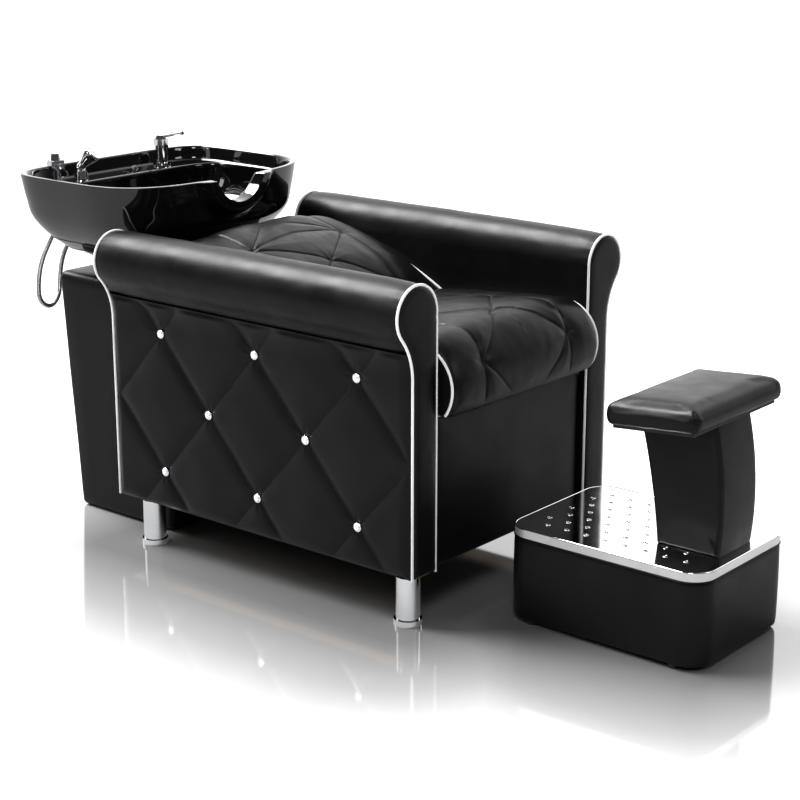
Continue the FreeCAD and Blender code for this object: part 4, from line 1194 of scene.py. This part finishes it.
def hose_line():
    """Points read from a smooth spline with the route as its control points."""
    curve = bpy.data.curves.new("hose_line", "CURVE")
    curve.dimensions = "3D"
    curve.resolution_u = 40
    spline = curve.splines.new("NURBS")
    spline.points.add(len(HOSE_ROUTE) - 1)
    for point, spot in zip(spline.points, HOSE_ROUTE):
        point.co = (*spot, 1.0)
    spline.order_u = 3
    spline.use_endpoint_u = True
    holder = linked("hose_line", curve)
    bpy.context.view_layer.update()
    mesh = bpy.data.meshes.new_from_object(holder)
    points = [tuple(vertex.co) for vertex in mesh.vertices]
    bpy.data.objects.remove(holder)
    return points


def spray_hose():
    """Spiral metal hose: close round ribs along its whole length."""
    line = hose_line()

    def ribbed(index, angle):
        turn = 2 * math.pi * index * RIB_STEP / RIB_PITCH + angle
        return HOSE / 2 - 0.0011 * (0.5 + 0.5 * math.cos(turn)) ** 2

    made = piece("ribbed_hose", *swept(resampled(line, RIB_STEP), ribbed, 16), "chrome", "bowl_assembly",
                 "spray_hose")
    made.data.materials[0] = metal("spiral_chrome", (0.46, 0.47, 0.49), 0.2)


def handset():
    """Short hand shower: plug in its socket, ball knuckle, flared head with a ringed spray face."""
    base, knee = (-0.845, -0.112, 0.696), (-0.845, -0.112, 0.776)
    stem = lathe([(0.0055, 0), (0.0055, 0.062), (0.0095, 0.0625), (0.0095, 0.074), (0.0088, 0.076),
                  (0.0095, 0.078), (0.0100, 0.081), (0.0070, 0.084)], base, sides=32)
    head = lathe([(0.0080, -0.006), (0.0105, 0.000), (0.0108, 0.005), (0.0100, 0.008), (0.0104, 0.010),
                  (0.0128, 0.018), (0.0168, 0.027), (0.0192, 0.034), (0.0203, 0.0395), (0.0203, 0.0435),
                  (0.0192, 0.0455), (0.0172, 0.0462), (0.0168, 0.0452), (0.0125, 0.0452), (0.0120, 0.0460),
                  (0.0085, 0.0460), (0.0080, 0.0452), (0.0010, 0.0452)], knee, (0.50, 0.42, 0.76), 40)
    creased(piece("hand_shower", *joined(stem, head), "chrome", "handset", "spray_handset"), 40)


# ---- kept CAD nodes, stage and light

def finish_nodes():
    slots = {part["node"]: part["material_slot"] for part in frame["record"]["subparts"]}
    for name, thing in nodes.items():
        for place in thing.material_slots:
            place.material = FINISHES[slots[name]]


def stage_set():
    """Glossy floor with painted shadow: darker under and close to the object, pale further away; seen in
    reflections it is a flat dim grey, painted shade.
    """
    finish = Finish("floor_painted_shadow")
    shadow_gaps = []
    for centre, half in (((-0.075, 0, 0), (0.415, 0.38, 1)), ((0.67, 0, 0), (0.225, 0.17, 1))):
        spot = finish.place
        for step, operand in (("SUBTRACT", centre), ("ABSOLUTE", (0, 0, 0)), ("SUBTRACT", half),
                              ("MAXIMUM", (0, 0, 0))):
            made = finish.add("VectorMath", spot, operation=step)
            made.inputs[1].default_value = operand
            spot = made.outputs[0]
        shadow_gaps.append(finish.add("VectorMath", spot, operation="LENGTH").outputs["Value"])
    nearest = finish.add("Math", *shadow_gaps, operation="MINIMUM").outputs[0]
    # painted shadow: the floor's colour runs from dark grey at the object's footprint to pale grey further
    # out
    finish.colours(finish.ramp(nearest, 0.0, 0.6, 0.0, 1.0),
                   *((at, (grey, grey, grey)) for at, grey in ((0.05, 0.22), (0.42, 0.42), (0.9, 0.86))))
    finish.set(Roughness=0.07, IOR=3.3)
    # painted shade: glossy rays see the floor as a flat dim grey instead of its lit surface, darkening its
    # reflection in the object
    mirrored = finish.add("LightPath").outputs["Is Glossy Ray"]
    dim = finish.add("BsdfDiffuse", Color=(0.34, 0.34, 0.34, 1.0))
    shaded = finish.add("MixShader", mirrored, finish.shader.outputs[0], dim.outputs[0])
    finish.link(shaded.outputs[0], finish.tree.nodes["Material Output"].inputs["Surface"])
    far = 14.0
    corners = [(-far, -far, 0), (far, -far, 0), (far, far, 0), (-far, far, 0)]
    mesh = mesh_of("studio_floor", corners, [(0, 1, 2, 3)])
    mesh.materials.append(finish.material)
    linked("studio_floor", mesh)


def lamp(name, kind, towards, power, **settings):
    """A light that shines from a direction."""
    data = bpy.data.lights.new(name, kind)
    data.energy = power
    for key, value in settings.items():
        setattr(data, key, value)
    made = linked(name, data)
    made.rotation_euler = Vector(towards).to_track_quat("Z", "Y").to_euler()
    return made


def light_studio():
    """White seen behind the object; a bright backdrop on its far side and a dim room in front."""
    world = bpy.data.worlds.new("studio")
    scene.world = world
    world.use_nodes = True
    sky = Nodes(world.node_tree)
    back = sky.tree.nodes["Background"]
    back.inputs["Color"].default_value = (1.0, 1.0, 1.0, 1.0)
    facing_away = sky.add("VectorMath", sky.add("TexCoord").outputs["Generated"], operation="DOT_PRODUCT")
    facing_away.inputs[1].default_value = (-math.sin(AZIMUTH), math.cos(AZIMUTH), 0.25)
    backdrop = sky.add("MapRange", facing_away.outputs["Value"], interpolation_type="SMOOTHSTEP",
                       From_Min=0.1, From_Max=0.75, To_Min=0.07, To_Max=1.5)
    seen = sky.add("Mix", sky.add("LightPath").outputs["Is Camera Ray"], B=1.0)
    sky.link(backdrop.outputs["Result"], seen.inputs["A"])
    sky.link(seen.outputs["Result"], back.inputs["Strength"])
    lamp("sky_panel", "SUN", (-0.55, -0.12, 0.80), 5.2, angle=math.radians(34))
    for name, place, aim, width, height, power in (
            ("right_panel", (-1.3, -4.2, 2.9), (-0.2, 0.0, 0.5), 1.4, 1.5, 28),
            ("front_light", (4.3, 1.2, 2.9), (0.1, 0.0, 0.4), 1.4, 1.5, 28),
            ("key", (2.0, -2.6, 3.2), (0.1, 0.0, 0.4), 1.2, 1.2, 45)):
        made = lamp(name, "AREA", Vector(place) - Vector(aim), power, shape="RECTANGLE", size=width,
                    size_y=height)
        made.location = place
    scene.view_settings.view_transform = "Standard"
    scene.view_settings.look = "Medium High Contrast"


# ---- everything

make_camera()
finish_nodes()
spray_hose()
handset()
make_arms()
seat_cushion()
back_cushion()
cushion_welts()
front_panel()
pedestal()
foot_box()
leg_post()
leg_pad()
ceramic_bowl()
stage_set()
light_studio()
